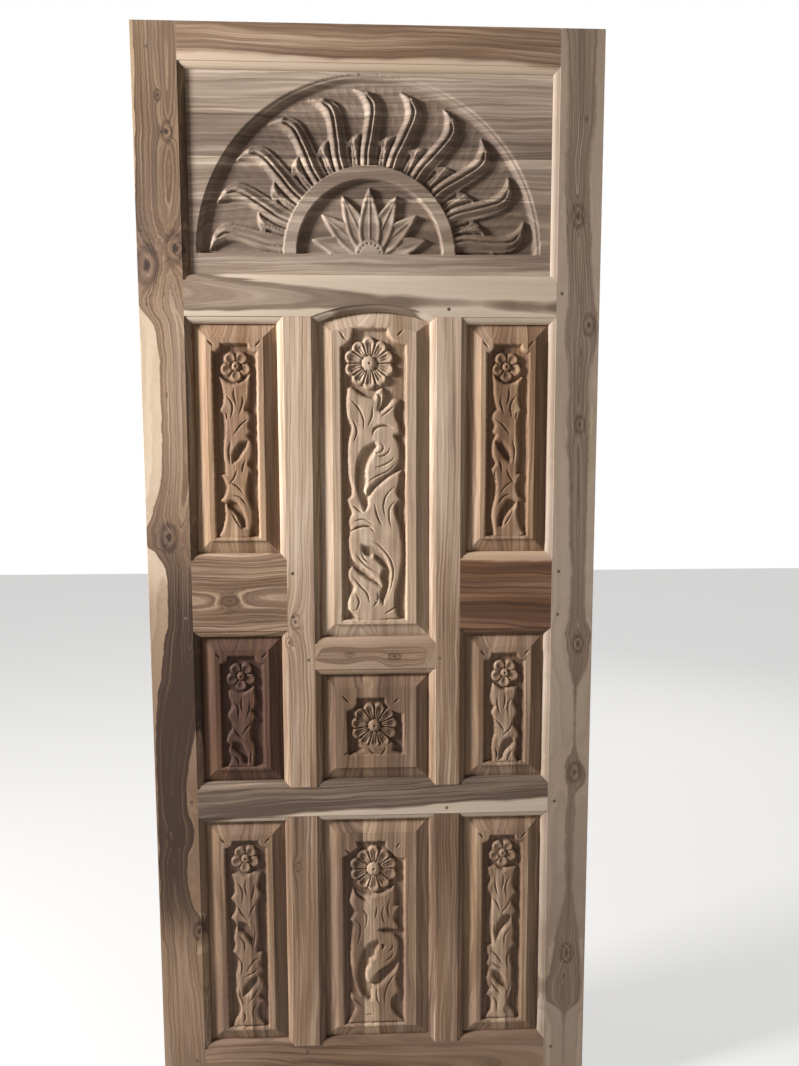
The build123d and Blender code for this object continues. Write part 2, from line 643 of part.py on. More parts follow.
def sun_panel(opening):
    back_face = LEAF_THICKNESS - STICK_DEPTH
    tongue = slab(opening.outline(TONGUE_GAP), GROOVE_FRONT, GROOVE_BACK)
    panel = tongue + slab(opening.outline(STICK_WIDTH), SUN_FACE, back_face)
    ground = half_disc(SUN_RADIUS - SUN_LEDGE) - half_disc(RING_OUTER)
    grooves = []
    for i in range(RAYS):
        turn = (i - (RAYS - 1) / 2) * RAY_STEP
        ground = ground - ray(turn)
        if i:
            ground = ground - small_ray(turn)
        grooves.append(ray_groove(turn))
    ledge = half_disc(SUN_RADIUS) - half_disc(SUN_RADIUS - SUN_LEDGE - 1)
    moon = half_disc(RING_INNER) - lotus()
    panel = panel - slab(ground, SUN_FACE - 1, SUN_FACE + SUN_GROUND)
    panel = panel - slab(ledge, SUN_FACE - 1, SUN_FACE + SUN_LEDGE_DROP)
    panel = panel - slab(moon, SUN_FACE - 1, SUN_FACE + MOON_GROUND)
    for groove in grooves:
        panel = panel - slab(groove, SUN_FACE - 1, SUN_FACE + RAY_GROOVE)
    return panel


def build_panels():
    return {
        "sun_panel": sun_panel(OPENINGS["sun"]),
        "upper_left_panel": tall_side_panel(OPENINGS["upper_left"], True),
        "upper_center_panel": arched_center_panel(OPENINGS["upper_center"]),
        "upper_right_panel": tall_side_panel(OPENINGS["upper_right"], False),
        "middle_left_panel": short_side_panel(OPENINGS["middle_left"], True),
        "middle_center_panel": square_center_panel(OPENINGS["middle_center"]),
        "middle_right_panel": short_side_panel(OPENINGS["middle_right"], False),
        "lower_left_panel": long_side_panel(OPENINGS["lower_left"], True),
        "lower_center_panel": long_center_panel(OPENINGS["lower_center"]),
        "lower_right_panel": long_side_panel(OPENINGS["lower_right"], False),
    }


# ---------- pins and output ----------

def near(piece, x, z):
    box = piece.bounding_box()
    reach = PIN_WIDTH
    return box.min.X - reach < x < box.max.X + reach and box.min.Z - reach < z < box.max.Z + reach


def add_pins(frame):
    """Bores each pin's hole through both pieces it holds, and returns the pins."""
    made = []
    for x, z in pins():
        pin = slab(pin_outline(x, z), 0, PIN_LENGTH)
        for name, piece in frame.items():
            if near(piece, x, z):
                frame[name] = piece - pin
        made.append(pin)
    return Compound(children=made)


def main():
    frame = build_frame()
    all_pins = add_pins(frame)
    nodes = {**frame, **build_panels(), "joint_pins": all_pins}
    os.makedirs("parts", exist_ok=True)
    for name, piece in nodes.items():
        export_step(piece, f"parts/{name}.step")
        print(name, len(piece.solids()), round(piece.volume))


main()
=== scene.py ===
# %% [markdown]
# # A carved temple door leaf in raw teak
# The imported model gives every board and panel at its true size and place. This script dresses it: the
# frame's boards get softened edges, each panel gets its carving, and every piece gets its own wood. First
# the imported model is loaded, and its nodes are kept, so that each piece's box can be read from them.

# %% Load the fixed frame
import json
import math
import bmesh
import bpy
import numpy as np
from mathutils import Matrix, Vector

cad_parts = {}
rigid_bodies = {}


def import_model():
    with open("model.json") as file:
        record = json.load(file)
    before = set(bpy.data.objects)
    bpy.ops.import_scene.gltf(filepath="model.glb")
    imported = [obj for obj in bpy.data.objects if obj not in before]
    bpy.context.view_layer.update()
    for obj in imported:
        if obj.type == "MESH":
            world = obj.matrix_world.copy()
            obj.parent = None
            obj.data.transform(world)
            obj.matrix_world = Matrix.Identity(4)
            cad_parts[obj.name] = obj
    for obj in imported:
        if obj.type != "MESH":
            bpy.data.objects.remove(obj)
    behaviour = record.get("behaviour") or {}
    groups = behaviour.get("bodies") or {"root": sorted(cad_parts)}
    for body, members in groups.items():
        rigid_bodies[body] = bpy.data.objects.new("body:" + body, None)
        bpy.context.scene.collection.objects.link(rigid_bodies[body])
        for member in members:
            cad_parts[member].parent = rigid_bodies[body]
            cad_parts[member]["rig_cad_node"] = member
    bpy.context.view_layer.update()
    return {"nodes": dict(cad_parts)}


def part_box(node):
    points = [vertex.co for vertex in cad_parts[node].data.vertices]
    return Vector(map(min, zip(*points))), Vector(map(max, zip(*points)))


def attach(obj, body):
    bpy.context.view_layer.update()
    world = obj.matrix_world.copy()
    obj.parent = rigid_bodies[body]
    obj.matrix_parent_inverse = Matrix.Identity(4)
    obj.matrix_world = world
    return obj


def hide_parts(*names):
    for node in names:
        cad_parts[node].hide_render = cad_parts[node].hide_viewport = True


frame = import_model()
nodes = frame["nodes"]
MM = 0.001
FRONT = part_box("left_stile")[0].y / MM
print("loaded", len(nodes), "nodes; front face at", round(FRONT, 2), "mm")

# %% [markdown]
# Blender's operators act on whatever is selected, and the loaded nodes start selected. So each
# step below first selects nothing, and then only the piece it works on.

# %% Select one piece


def only(piece):
    bpy.ops.object.select_all(action="DESELECT")
    piece.select_set(True)
    bpy.context.view_layer.objects.active = piece
    return piece


print("selection helper ready")

# %% [markdown]
# ## Curves and distances
# A carver draws the leaves on the board first. Here each outline is a few points taken along
# the real edge, and a smooth curve is run through them. Where the line turns sharply, it is the
# tip of a leaf, and the corner is kept. A drawn line also wavers slightly, as a hand does.

# %% A smooth line through drawn points
SPACING = 2.2  # between two points of a smooth line, in millimetres
OUTLINE_WAVER, STROKE_WAVER = 0.28, 0.12
TINY = 1e-9


def unit(vectors):
    return vectors / np.maximum(np.linalg.norm(vectors, axis=1), TINY)[:, None]


def drawn(points, closed=True, corner=62.0):
    p = np.array(points, float).reshape(-1, 2)
    count = len(p)
    back, ahead = unit(p - np.roll(p, 1, 0)), unit(np.roll(p, -1, 0) - p)
    middle = unit(back + ahead)
    sharp = np.degrees(np.arccos(np.clip((back * ahead).sum(1), -1, 1))) > corner
    if not closed:
        sharp[0] = sharp[-1] = True
    leave = np.where(sharp[:, None], ahead, middle)
    arrive = np.where(sharp[:, None], back, middle)
    line = []
    for i in range(count if closed else count - 1):
        j = (i + 1) % count
        length = np.linalg.norm(p[j] - p[i])
        for t in np.arange(0, 1, 1 / max(1, math.ceil(length / SPACING))):
            h = 2 * t**3 - 3 * t**2 + 1, t**3 - 2 * t**2 + t, 3 * t**2 - 2 * t**3, t**3 - t**2
            point = h[0] * p[i] + h[1] * length * leave[i]
            line.append(point + h[2] * p[j] + h[3] * length * arrive[j])
    if not closed:
        line.append(p[-1])
    line = np.array(line)
    sway = np.column_stack([
        np.sin(line[:, 1] / 2.9 + line[:, 0]), np.sin(line[:, 0] / 3.3 + line[:, 1])])
    return line + sway * (OUTLINE_WAVER if closed else STROKE_WAVER)


print("a drawn square becomes", len(drawn([0, 0, 9, 0, 9, 9, 0, 9])), "points")

# %% [markdown]
# What a carver does depends on how near the tool is to a line: the wall stands on it, the floor
# begins a little way off, and the leaf's edge is rounded over towards it. So one helper
# measures how far every point near a closed line is from it, minus inside it.

# %% Signed distance from a closed line


def close_to(line, x, z, reach):
    low, high = line.min(0) - reach, line.max(0) + reach
    return (x > low[0]) & (x < high[0]) & (z > low[1]) & (z < high[1])


def off_segment(px, pz, start, way):
    """How far along a segment the nearest place is, as a share, and the way there."""
    (x0, z0), (dx, dz) = start, way
    t = np.clip(((px - x0) * dx + (pz - z0) * dz) / (dx * dx + dz * dz + 1e-12), 0, 1)
    return t, px - x0 - t * dx, pz - z0 - t * dz


def beyond(line, x, z, reach=14.0):
    far = np.full(x.shape, reach)
    near = close_to(line, x, z, reach)
    px, pz = x[near], z[near]
    best = np.full(px.shape, reach * reach)
    inside = np.zeros(px.shape, bool)
    for (x0, z0), (x1, z1) in zip(line, np.roll(line, -1, 0)):
        dx, dz = x1 - x0, z1 - z0
        _, aside, above = off_segment(px, pz, (x0, z0), (dx, dz))
        np.minimum(best, aside ** 2 + above ** 2, out=best)
        if abs(dz) > 1e-12:
            inside ^= ((z0 > pz) != (z1 > pz)) & (px < x0 + (pz - z0) * dx / dz)
    distance = np.sqrt(best)
    far[near] = np.where(inside, -distance, distance)
    return far


print("signed distance ready")

# %% [markdown]
# The veins are single strokes of a small gouge: deepest in the middle and running out to
# nothing at both ends. For every point, the depth of the nearest stroke is found the same way.

# %% Depth of a gouge stroke
GOUGE_REACH = 4.0  # more than the widest gouge's half width


def ramp(value):
    return np.clip(value, 0, 1)


def stroke(line, x, z, half_width, depth, ends=0.35):
    """A cut that runs out over the given share of its length at both ends."""
    cut = np.zeros(x.shape)
    near = close_to(line, x, z, GOUGE_REACH)
    px, pz = x[near], z[near]
    steps = np.linalg.norm(np.diff(line, axis=0), axis=1)
    total, run = steps.sum(), 0.0
    deepest = np.zeros(px.shape)
    for (x0, z0), (x1, z1), step in zip(line, line[1:], steps):
        t, aside, above = off_segment(px, pz, (x0, z0), (x1 - x0, z1 - z0))
        share = (run + t * step) / total
        fade = np.clip(np.minimum(share, 1 - share) / ends, 0.02, 1) ** 0.6
        profile = ramp(1 - np.hypot(aside, above) / (half_width * fade))
        np.maximum(deepest, depth * fade * profile, out=deepest)
        run += step
    cut[near] = deepest
    return cut


print("gouge stroke ready")

# %% [markdown]
# ## The field of a panel
# A raised panel fills a groove in the frame and rises in a sloped margin to a flat field, on
# which the carving is done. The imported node's box gives the tongue's edge, which stops short of
# the groove's bottom, so the opening is the box grown by that gap.

# %% Where a panel's field lies
TONGUE_GAP = 2.0


class Panel:
    """A panel's opening in millimetres, its field, and the outlines at any inset."""

    def __init__(self, node, inset, depth, rise=0.0):
        low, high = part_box(node)
        self.inset, self.depth, self.rise = inset, depth, rise
        self.left, self.right = low.x / MM - TONGUE_GAP, high.x / MM + TONGUE_GAP
        self.bottom, self.crown = low.z / MM - TONGUE_GAP, high.z / MM + TONGUE_GAP
        self.middle = (self.left + self.right) / 2
        if rise:
            half = (self.right - self.left) / 2
            self.radius = (half * half + rise * rise) / (2 * rise)
        self.width = self.right - self.left - 2 * inset
        self.top, self.foot = self.crown - inset, self.bottom + inset

    def ceiling(self, x, inset):
        if not self.rise:
            return np.full(np.shape(x), self.crown - inset)
        reach = self.radius - inset
        return self.crown - self.radius + np.sqrt(reach * reach - (x - self.middle) ** 2)

    def point(self, u, v, inset):
        x = self.left + inset + u * (self.right - self.left - 2 * inset)
        floor = self.bottom + inset
        return x, floor + v * (self.ceiling(x, inset) - floor)

    def share(self, x, z, inset):
        u = (x - self.left - inset) / (self.right - self.left - 2 * inset)
        floor = self.bottom + inset
        return u, (z - floor) / (self.ceiling(x, inset) - floor)


print("panel helper ready")

# %% [markdown]
# Relief could be sculpted, or displaced by a picture. A picture isn't allowed and a sculpt can't
# be repeated, so a fine grid is added, and every point of it is pressed back to the depth that
# the carving has there. Points that lie almost on the foot or the head of a wall are first slid
# onto it, so that the walls come out crisp on a coarse grid.

# %% Press the carving into a grid
WALL = 1.7  # width of a wall, in millimetres
SLIDE = 0.42  # how far a point may slide, in cells
SHADE_AND_GRIME_DEPTH = 8  # depth at which the painted shade and the grime of the recesses are full


def pressed_grid(name, panel, relief, cell):
    across = round(panel.width / cell)
    up = round((panel.top - panel.foot) / cell)
    bpy.ops.object.select_all(action="DESELECT")
    bpy.ops.mesh.primitive_grid_add(x_subdivisions=across, y_subdivisions=up, size=1)
    piece = bpy.context.object
    piece.name = piece.data.name = name
    co = np.zeros(len(piece.data.vertices) * 3)
    piece.data.vertices.foreach_get("co", co)
    co = co.reshape(-1, 3)
    u, v = co[:, 0] + 0.5, co[:, 1] + 0.5
    x, z = panel.point(u, v, panel.inset)
    loose = (u > 0.001) & (u < 0.999) & (v > 0.001) & (v < 0.999)
    wall = relief(x, z)[1]
    columns = len(np.unique(np.round(u, 6)))
    slope_z, slope_x = np.gradient(wall.reshape(-1, columns))
    steep = np.hypot(slope_x, slope_z).ravel() + TINY
    for level in (0.0, WALL):
        slid = loose & (np.abs(wall - level) < SLIDE * cell)
        x = np.where(slid, x - (wall - level) * slope_x.ravel() / steep, x)
        z = np.where(slid, z - (wall - level) * slope_z.ravel() / steep, z)
    depth = relief(x, z)[0]
    co = np.column_stack([x, FRONT + panel.depth + depth, z]) * MM
    piece.data.vertices.foreach_set("co", co.ravel())
    piece.data.update()
    # The carved attribute grows with depth. The wood reads it to paint the sunk carving darker, partly as
    # grime and partly as painted shade in the recesses.
    sunk = piece.data.attributes.new("carved", "FLOAT", "POINT")
    sunk.data.foreach_set("value", ramp(depth / SHADE_AND_GRIME_DEPTH).astype(np.float32))
    return piece


print("a wall is", WALL, "mm wide")

# %% [markdown]
# The rest of the panel is planed, not carved: the step round the field, the sloped margin, the
# tongue in its groove and the plain back. By hand this is one edge extruded again and again,
# and each new ring of edges is set to its own inset and depth. The last ring is filled.

# %% Extrude a panel's planed edge and back
FLAT, CREASE = math.radians(0.4), math.radians(14)
FIELD_INSET, FIELD_DEPTH = 37, 1.5
RAISED_RINGS = [
    (FIELD_INSET, 4.0), (12, 12.5), (2, 12.5), (2, 22.5), (12, 22.5), (FIELD_INSET, 28.5),
    (FIELD_INSET, 31.0)]


def planed_edge(piece, panel, rings):
    only(piece)
    grid_points = len(piece.data.vertices)
    bpy.ops.object.mode_set(mode="EDIT")
    bpy.ops.mesh.select_mode(type="EDGE")
    bpy.ops.mesh.select_all(action="DESELECT")
    bpy.ops.mesh.select_non_manifold(
        extend=False, use_wire=False, use_multi_face=False, use_non_contiguous=False, use_verts=False)
    before = panel.inset
    for inset, depth in rings:
        bpy.ops.mesh.extrude_region_move()
        mesh = bmesh.from_edit_mesh(piece.data)
        for vertex in (v for v in mesh.verts if v.select):
            u, v = panel.share(vertex.co.x / MM, vertex.co.z / MM, before)
            x, z = panel.point(u, v, inset)
            vertex.co = Vector((x, FRONT + depth, z)) * MM
        bmesh.update_edit_mesh(piece.data)
        before = inset
    bpy.ops.mesh.edge_face_add()
    mesh = bmesh.from_edit_mesh(piece.data)
    bpy.ops.mesh.select_mode(type="FACE")
    for face in mesh.faces:
        face.select_set(any(v.index >= grid_points for v in face.verts))
    bpy.ops.mesh.dissolve_limited(angle_limit=FLAT)
    bpy.ops.mesh.select_all(action="SELECT")
    bpy.ops.mesh.normals_make_consistent(inside=False)
    bpy.ops.object.mode_set(mode="OBJECT")
    bpy.ops.object.shade_smooth_by_angle(angle=CREASE)
    keep_carving_soft(piece, grid_points)
    print(piece.name, len(piece.data.polygons), "faces")
    return piece


def keep_carving_soft(piece, grid_points):
    """The planed part keeps its hard edges; the carving is shaded smooth all over."""
    sharp = piece.data.attributes.get("sharp_edge")
    if sharp is None:
        return
    ends = np.zeros(len(piece.data.edges) * 2, int)
    piece.data.edges.foreach_get("vertices", ends)
    ends = ends.reshape(-1, 2)
    carved = (ends < grid_points).all(1) & ~on_rim(piece, grid_points)[ends].all(1)
    values = np.zeros(len(piece.data.edges), bool)
    sharp.data.foreach_get("value", values)
    sharp.data.foreach_set("value", values & ~carved)


def on_rim(piece, grid_points):
    """The grid's outer points, which the planed part also uses."""
    rim = np.zeros(len(piece.data.vertices), bool)
    for face in piece.data.polygons:
        corners = np.array(face.vertices)
        if (corners >= grid_points).any():
            rim[corners[corners < grid_points]] = True
    return rim


print(len(RAISED_RINGS), "rings round a raised panel")

# %% [markdown]
# ## Flowers
# Each flower is a dish of round petals about a turned-looking boss with a small hole in it. The
# petals are parted by a fine cut, their rims are rounded over, and they dip towards the boss.

# %% A carved flower
HOLE = 2.4  # radius of the hole in a boss
RIM, SEAM, HOLLOW, FLUTE, MOAT, BOSS, BORE = 2.8, 3.2, 2.6, 1.5, 1.8, 2.6, 4.0  # depths


def falloff(distance, width, power=2):
    """1 on a line, and softly down to 0 away from it."""
    return np.exp(-((distance / width) ** power))


class Flower:
    def __init__(self, petals, reach, lobe, boss, turn, dish, flutes=0):
        self.petals, self.reach, self.lobe, self.boss = petals, reach, lobe, boss
        self.turn, self.dish, self.flutes = math.radians(turn), dish, flutes

    def shape(self, x, z, place, size):
        """How far outside the petals each point is, and how deep its surface lies."""
        dx, dz = (x - place[0]) / size, (z - place[1]) / size
        rho, angle = np.hypot(dx, dz), np.arctan2(dz, dx)
        each = 2 * math.pi / self.petals
        from_seam = angle - self.turn + each / 2
        off = from_seam % each - each / 2
        number = np.floor(from_seam / each) % self.petals
        reach = self.reach * (1 + 0.03 * np.sin(number * 2.4 + self.petals))
        along, aside = rho * np.cos(off), rho * np.sin(off)
        outside = np.minimum(np.hypot(along - reach, aside) - self.lobe, rho - reach)
        seam = rho * np.sin(each / 2 - np.abs(off))
        depth = 0.3 + RIM * falloff(np.minimum(outside, 0), 1.7)
        depth = depth + self.dish * ramp(1 - rho / (self.reach + self.lobe))
        depth = depth + SEAM * falloff(seam, 1.05) * (rho > self.boss)
        hollow = np.hypot((along - self.reach + 1.5) / 1.5, aside) / self.lobe
        depth = depth + HOLLOW * falloff(hollow, 0.58)
        if self.flutes:
            fan = (0.5 - 0.5 * np.cos(2 * math.pi * self.flutes * (off / each + 0.5))) ** 2
            depth = depth + FLUTE * (1 - fan) * ramp((rho - self.boss) / 4) * (rho < reach + 2)
        depth = depth + MOAT * falloff(rho - self.boss - 1.6, 1.7)
        dome = 0.2 + BOSS * ramp(rho / self.boss) ** 3 + BORE * ramp(1 - (rho / HOLE) ** 2)
        return outside * size, np.where(rho < self.boss, dome, depth)


SIDE_FLOWER = Flower(petals=5, reach=16.5, lobe=11.0, boss=7.6, turn=54, dish=2.6)
CENTER_FLOWER = Flower(petals=10, reach=34.5, lobe=11.6, boss=13.0, turn=18, dish=4.2, flutes=3)
ROSETTE = Flower(petals=11, reach=35.0, lobe=10.6, boss=11.5, turn=8, dish=4.0, flutes=3)
print("three kinds of flower")

# %% [markdown]
# ## Leaves
# A leaf panel is then: a sunk ground with hollowed upper corners, out of which the flower and
# the leaves are left standing; loops of ground inside the leaves; and veins cut into them. The
# same drawing serves the left and the right panel, turned over.

# %% Carve one leaf panel
GROUND = 8.0  # depth of the sunk ground below the field
VEIN, SLIT = (2.1, 3.2), (3.4, 5.4, 0.3)  # half width, depth and ends of a cut
FACE, EDGE_DROP, LEAF_DIP, SWELL = 0.4, 3.4, 1.1, 0.45  # of a leaf's upper side


def eased(share, power):
    return 1 - (1 - share) ** power


class Drawing:
    """Outlines of one carving, in millimetres across from the middle and down from the top."""

    def __init__(self, width, height, ground, flower, place, leaves, loops, veins, slits=(),
                 origin=(0, 0)):
        self.width, self.height, self.flower, self.place = width, height, flower, place
        self.origin = np.array(origin)
        self.drawn = {"leaves": leaves, "loops": loops, "veins": veins, "slits": slits}
        self.ground = ground

    def on(self, panel, flip):
        """Lay the drawing on a panel, turned over where flip is -1."""
        self.size, self.flip = panel.width / self.width, flip
        grow = (panel.top - panel.foot) / self.height

        def placed(points):
            p = np.array(points, float).reshape(-1, 2) - self.origin
            return np.column_stack(
                [panel.middle + flip * self.size * p[:, 0], panel.top - grow * p[:, 1]])

        self.edge = drawn(placed(self.ground), corner=40)
        self.lines = {
            kind: [drawn(placed(line), closed=kind in ("leaves", "loops")) for line in lines]
            for kind, lines in self.drawn.items()}
        self.flower_at = placed([self.place])[0]
        return self.relief

    def relief(self, x, z):
        """How deep the carving is at each point, and how far outside the nearest wall it lies."""
        lines = self.lines
        inside = -beyond(self.edge, x, z)
        mirrored = self.flower_at[0] + self.flip * (x - self.flower_at[0])
        petals, petal_depth = self.flower.shape(mirrored, z, self.flower_at, self.size)
        leaf = np.min([beyond(line, x, z) for line in lines["leaves"]], axis=0)
        for loop in lines["loops"]:
            leaf = np.maximum(leaf, -beyond(loop, x, z))
        standing = np.minimum(leaf, petals)
        wall = np.minimum(inside, standing)
        cuts = np.max([stroke(line, x, z, *VEIN) for line in lines["veins"]]
                      + [stroke(line, x, z, *SLIT) for line in lines["slits"]], axis=0)
        edge = np.clip(-leaf, 0, 99)
        swell = SWELL * np.sin(x / 6.5 + z / 17) * np.sin(z / 9.5 - x / 23) * ramp(edge / 5)
        dip = LEAF_DIP * (1 - falloff(edge, 5))
        top = FACE + EDGE_DROP * falloff(edge, 3.0, 1.4) + dip + cuts + swell
        top = np.where(petals < leaf, petal_depth, top)
        top = np.where(inside < 0, np.exp(np.minimum(inside, 0) / 0.8) + cuts, top)
        blend = ramp((inside - standing + 1) / 2)
        shoulder = 1.0 + 2.1 * blend
        run = ramp(wall / (WALL + 2.2 * (1 - blend)))
        floor = shoulder + (GROUND - shoulder) * eased(run, 1.4)
        floor = floor - 0.9 * falloff(wall - WALL, 1.2) * (run >= 1)
        return np.where(wall > 0, floor, top), wall


print("the ground lies", GROUND, "mm below the field")

# %% [markdown]
# The ground's outline is a plain box with a quarter round left standing at its two upper
# corners, and a diagonal cut runs into each of them.

# %% Draw the sunk ground's outline


def ground_box(left, right, head, foot, notch=15.0):
    turns = [math.radians(a) for a in (0, 22.5, 45, 67.5, 90)]
    points = [(left, foot)]
    points += [(left + notch * math.sin(a), head + notch * math.cos(a)) for a in turns]
    points += [(right - notch * math.sin(a), head + notch * math.cos(a)) for a in reversed(turns)]
    return points + [(right, foot)]


def corner_cuts(left, right, head):
    return [
        [(left - 8, head - 6), (left + 3, head + 6)], [(right + 8, head - 6), (right - 3, head + 6)]]


def side_drawing(height, place, leaves, loops, veins):
    left, right, head, foot = -39.5, 39.5, 11, height - 5
    return Drawing(
        101, height, ground_box(left, right, head, foot), SIDE_FLOWER, place, [leaves], loops,
        veins + corner_cuts(left, right, head))


print("a ground outline has", len(ground_box(-39, 39, 11, 367)), "points")

# %% [markdown]
# ## The narrow side panels
# Three heights of the same idea: a five-petalled flower over a stem of long leaves, with the
# ground showing through where a leaf curls over. The points follow the right-hand panels, and
# each line is one run of numbers: across, down, across, down.

# %% Draw the three side carvings
TALL_LEAVES = [
    -29, 61, -27, 85, -26, 103, -22, 120, -18, 130, -27, 139, -28, 148, -23, 160, -27, 171, -21, 178, -27,
    190, -29, 203, -27, 218, -21, 231, -28, 241, -24, 250, -20, 266, -19, 280, -22, 298, -27, 315, -28,
    335, -24, 354, -22, 368, 30, 368, 36, 362, 30, 355, 25, 340, 22, 325, 23, 312, 21, 303, 31, 298, 24,
    290, 19, 275, 22, 262, 28, 251, 20, 249, 21, 230, 23, 212, 22, 193, 20, 173, 20, 153, 22, 139, 27,
    131, 23, 122, 21, 108, 23, 88, 28, 70, 13, 80, 0, 84, -15, 78]
TALL_LOOPS = [
    [-20, 189, -10, 190, 0, 201, 7, 215, 6, 227, -2, 222, -10, 210, -17, 199], [16, 300, 5, 299, -6, 313,
    -13, 333, -14, 348, -8, 349, -3, 333, 6, 320, 15, 311, 20, 303]]
TALL_VEINS = [
    [17, 103, 6, 121, 9, 147], [19, 134, 16, 142, 17, 150], [-12.5, 103, -12.5, 118, -6, 139], [-22, 147,
    -8, 159, 6, 178], [-16, 222, -11, 234, -9, 248], [-22, 241, -22, 254, -20, 268], [12.5, 263, -1.6,
    273, -11, 285], [9, 287, -5, 292, -17, 308], [12.5, 319, 5, 333, -5, 349], [2, 88, 3, 104, -2, 124],
    [10, 186, 14, 206, 12, 232], [0, 240, 6, 256, 16, 268]]
TALL = side_drawing(372, (-2, 52), TALL_LEAVES, TALL_LOOPS, TALL_VEINS)

SHORT_LEAVES = [
    -22, 71, -26, 88, -27, 101, -23, 113, -18, 117, -25, 132, -20, 139, -17, 153, -17, 173, -21, 183, -23,
    198, -22, 213, -20, 230, 30, 230, 27, 225, 23, 213, 27, 198, 25, 185, 31, 178, 26, 163, 19, 153, 21,
    143, 27, 128, 19, 108, 24, 91, 25, 80, 12, 80, 0, 84, -12, 78]
SHORT_LOOPS = [[17, 180, 6, 182, -3, 195, -8, 211, -8, 223, -3, 221, 3, 208, 13, 199, 21, 191]]
SHORT_VEINS = [
    [17, 98, 8, 112, 9, 136], [-14, 98, -13, 114, -7, 134], [1, 90, 2, 108, -1, 122], [-20, 140, -8, 152,
    2, 168], [16, 146, 13, 160, -2, 176], [-16, 200, -13, 212, -15, 226], [18, 206, 10, 216, 8, 228]]
SHORT = side_drawing(234, (1, 51), SHORT_LEAVES, SHORT_LOOPS, SHORT_VEINS)

LONG_LEAVES = [
    -28, 79, -26, 92, -22, 105, -28, 120, -26, 129, -21, 137, -20, 157, -22, 182, -22, 207, -19, 232, -18,
    242, -29, 244, -27, 257, -24, 267, -28, 282, -23, 289, -26, 299, -29, 312, -26, 325, -21, 335, -29,
    346, -22, 353, -18, 365, -20, 379, -31, 397, 31, 399, 27, 385, 18, 372, 16, 362, 20, 347, 24, 327, 23,
    307, 24, 292, 20, 272, 19, 252, 29, 240, 24, 229, 26, 212, 23, 197, 20, 185, 31, 170, 24, 160, 20,
    149, 23, 139, 30, 130, 23, 119, 23, 102, 27, 80, 12, 80, 0, 84, -14, 77]
LONG_LOOPS = [
    [15, 179, 4, 181, -7, 197, -11, 215, -8, 227, -3, 217, 5, 205, 15, 197, 20, 185], [-17, 295, -7, 298,
    3, 309, 10, 323, 11, 335, 2, 330, -8, 319, -16, 307]]
LONG_VEINS = [
    [17, 96, 8, 114, 9, 140], [-15, 98, -13, 116, -7, 138], [1, 90, 3, 108, -1, 126], [-20, 138, -10, 152,
    -3, 172], [18, 140, 13, 156, -2, 176], [-14, 196, -13, 216, -9, 238], [16, 206, 7, 222, 6, 244], [-22,
    252, -10, 262, 4, 284], [-20, 276, -8, 286, 8, 294], [20, 250, 12, 266, 14, 292], [-20, 318, -10, 334,
    2, 350], [17, 318, 16, 336, 8, 354], [-16, 350, -8, 364, -8, 384], [12, 366, 8, 378, 12, 392]]
LONG = side_drawing(405, (1, 49), LONG_LEAVES, LONG_LOOPS, LONG_VEINS)
print("three side carvings drawn")

# %% [markdown]
# ## The middle panels
# The middle bay is wider. Under its low arch a big daisy stands over two leaf scrolls, below it
# is a square with a rosette, and at the bottom another daisy stands over one large scroll.

# %% Draw the carving under the arch
ARCHED_LEAVES = [
    -40, 630, -45, 631, -48, 655, -46, 683, -38, 706, -43, 725, -45, 745, -44, 793, -39, 830, -46, 836,
    -43, 850, -38, 862, -43, 872, -44, 880, -42, 896, -45, 915, -42, 938, -34, 955, -10, 973, 14, 1001, 4,
    996, -22, 979, -39, 964, -45, 970, -45, 986, -36, 1004, -44, 1020, -48, 1042, -38, 1055, -30, 1064,
    50, 1064, 44, 1045, 43, 1025, 52, 981, 57, 942, 55, 912, 50, 883, 43, 861, 44, 848, 53, 838, 46, 823,
    50, 806, 53, 783, 42, 788, 25, 799, 8, 814, -6, 832, -9, 850, -14, 857, -23, 836, -29, 800, -25, 762,
    -14, 742, 4, 731, 9, 738, -2, 756, -9, 770, -13, 786, -12, 806, -16, 822, -12, 828, -4, 815, 25, 791,
    42, 779, 51, 764, 52, 747, 48, 730, 41, 718, 53, 714, 50, 697, 43, 683, 44, 668, 51, 653, 41, 651, 33,
    659, 24, 668, 15, 674, 11, 670, 19, 657, 23, 643, 19, 631, 10, 636, 2, 651, -18, 645]
ARCHED_LOOPS = [
    [-20, 922, -6, 925, 12, 934, 24, 950, 31, 970, 31, 992, 27, 1012, 19, 1034, 13, 1022, 18, 1006, 20,
    994, 16, 981, 22, 966, 10, 953, 1, 941, -7, 944, -19, 935]]
ARCHED_VEINS = [
    [-40, 651, -24, 670, -16, 691, -17, 708], [0, 664, 0, 679, -8.5, 702], [-37, 687, -31, 700, -29, 713,
    -35, 730], [16, 684, 28, 674, 40, 664], [3, 778, 20, 773, 35, 764, 41, 757], [-10, 804, 8, 793, 29,
    783, 44, 768], [10, 756, 18, 756, 29, 749, 33, 738], [-24, 934, -14, 951, 3, 957], [-33, 938, -16,
    959, 12, 976], [-37, 878, -18, 874, 3, 885], [44, 810, 27, 827, 20, 849, 23, 870], [44, 838, 32, 853,
    31, 872, 35, 891], [3, 844, 8, 866, 17, 887], [-38, 847, -26, 857, -16, 864], [-39, 981, -26, 998,
    -11.5, 1015, -6, 1036], [8, 1010, 8, 1027, -1, 1042], [20, 1055, 32, 1048, 48, 1038], [2, 743, 8, 750,
    17, 747, 20, 738, 14, 731], [-13.6, 915, 3, 917, 20, 932, 33, 951, 38, 972, 35, 998, 26, 1026], [-34,
    1012, -27, 1030, -31, 1046, -41, 1048], [-60, 528, -48, 545], [46, 537, 58, 525]]
ARCHED_SLITS = [
    [6, 641, 14, 645, 13, 658, 9, 668], [0, 718, 4, 706, 18, 700, 40, 705], [-43, 898, -28, 889, -5, 889,
    3, 899]]
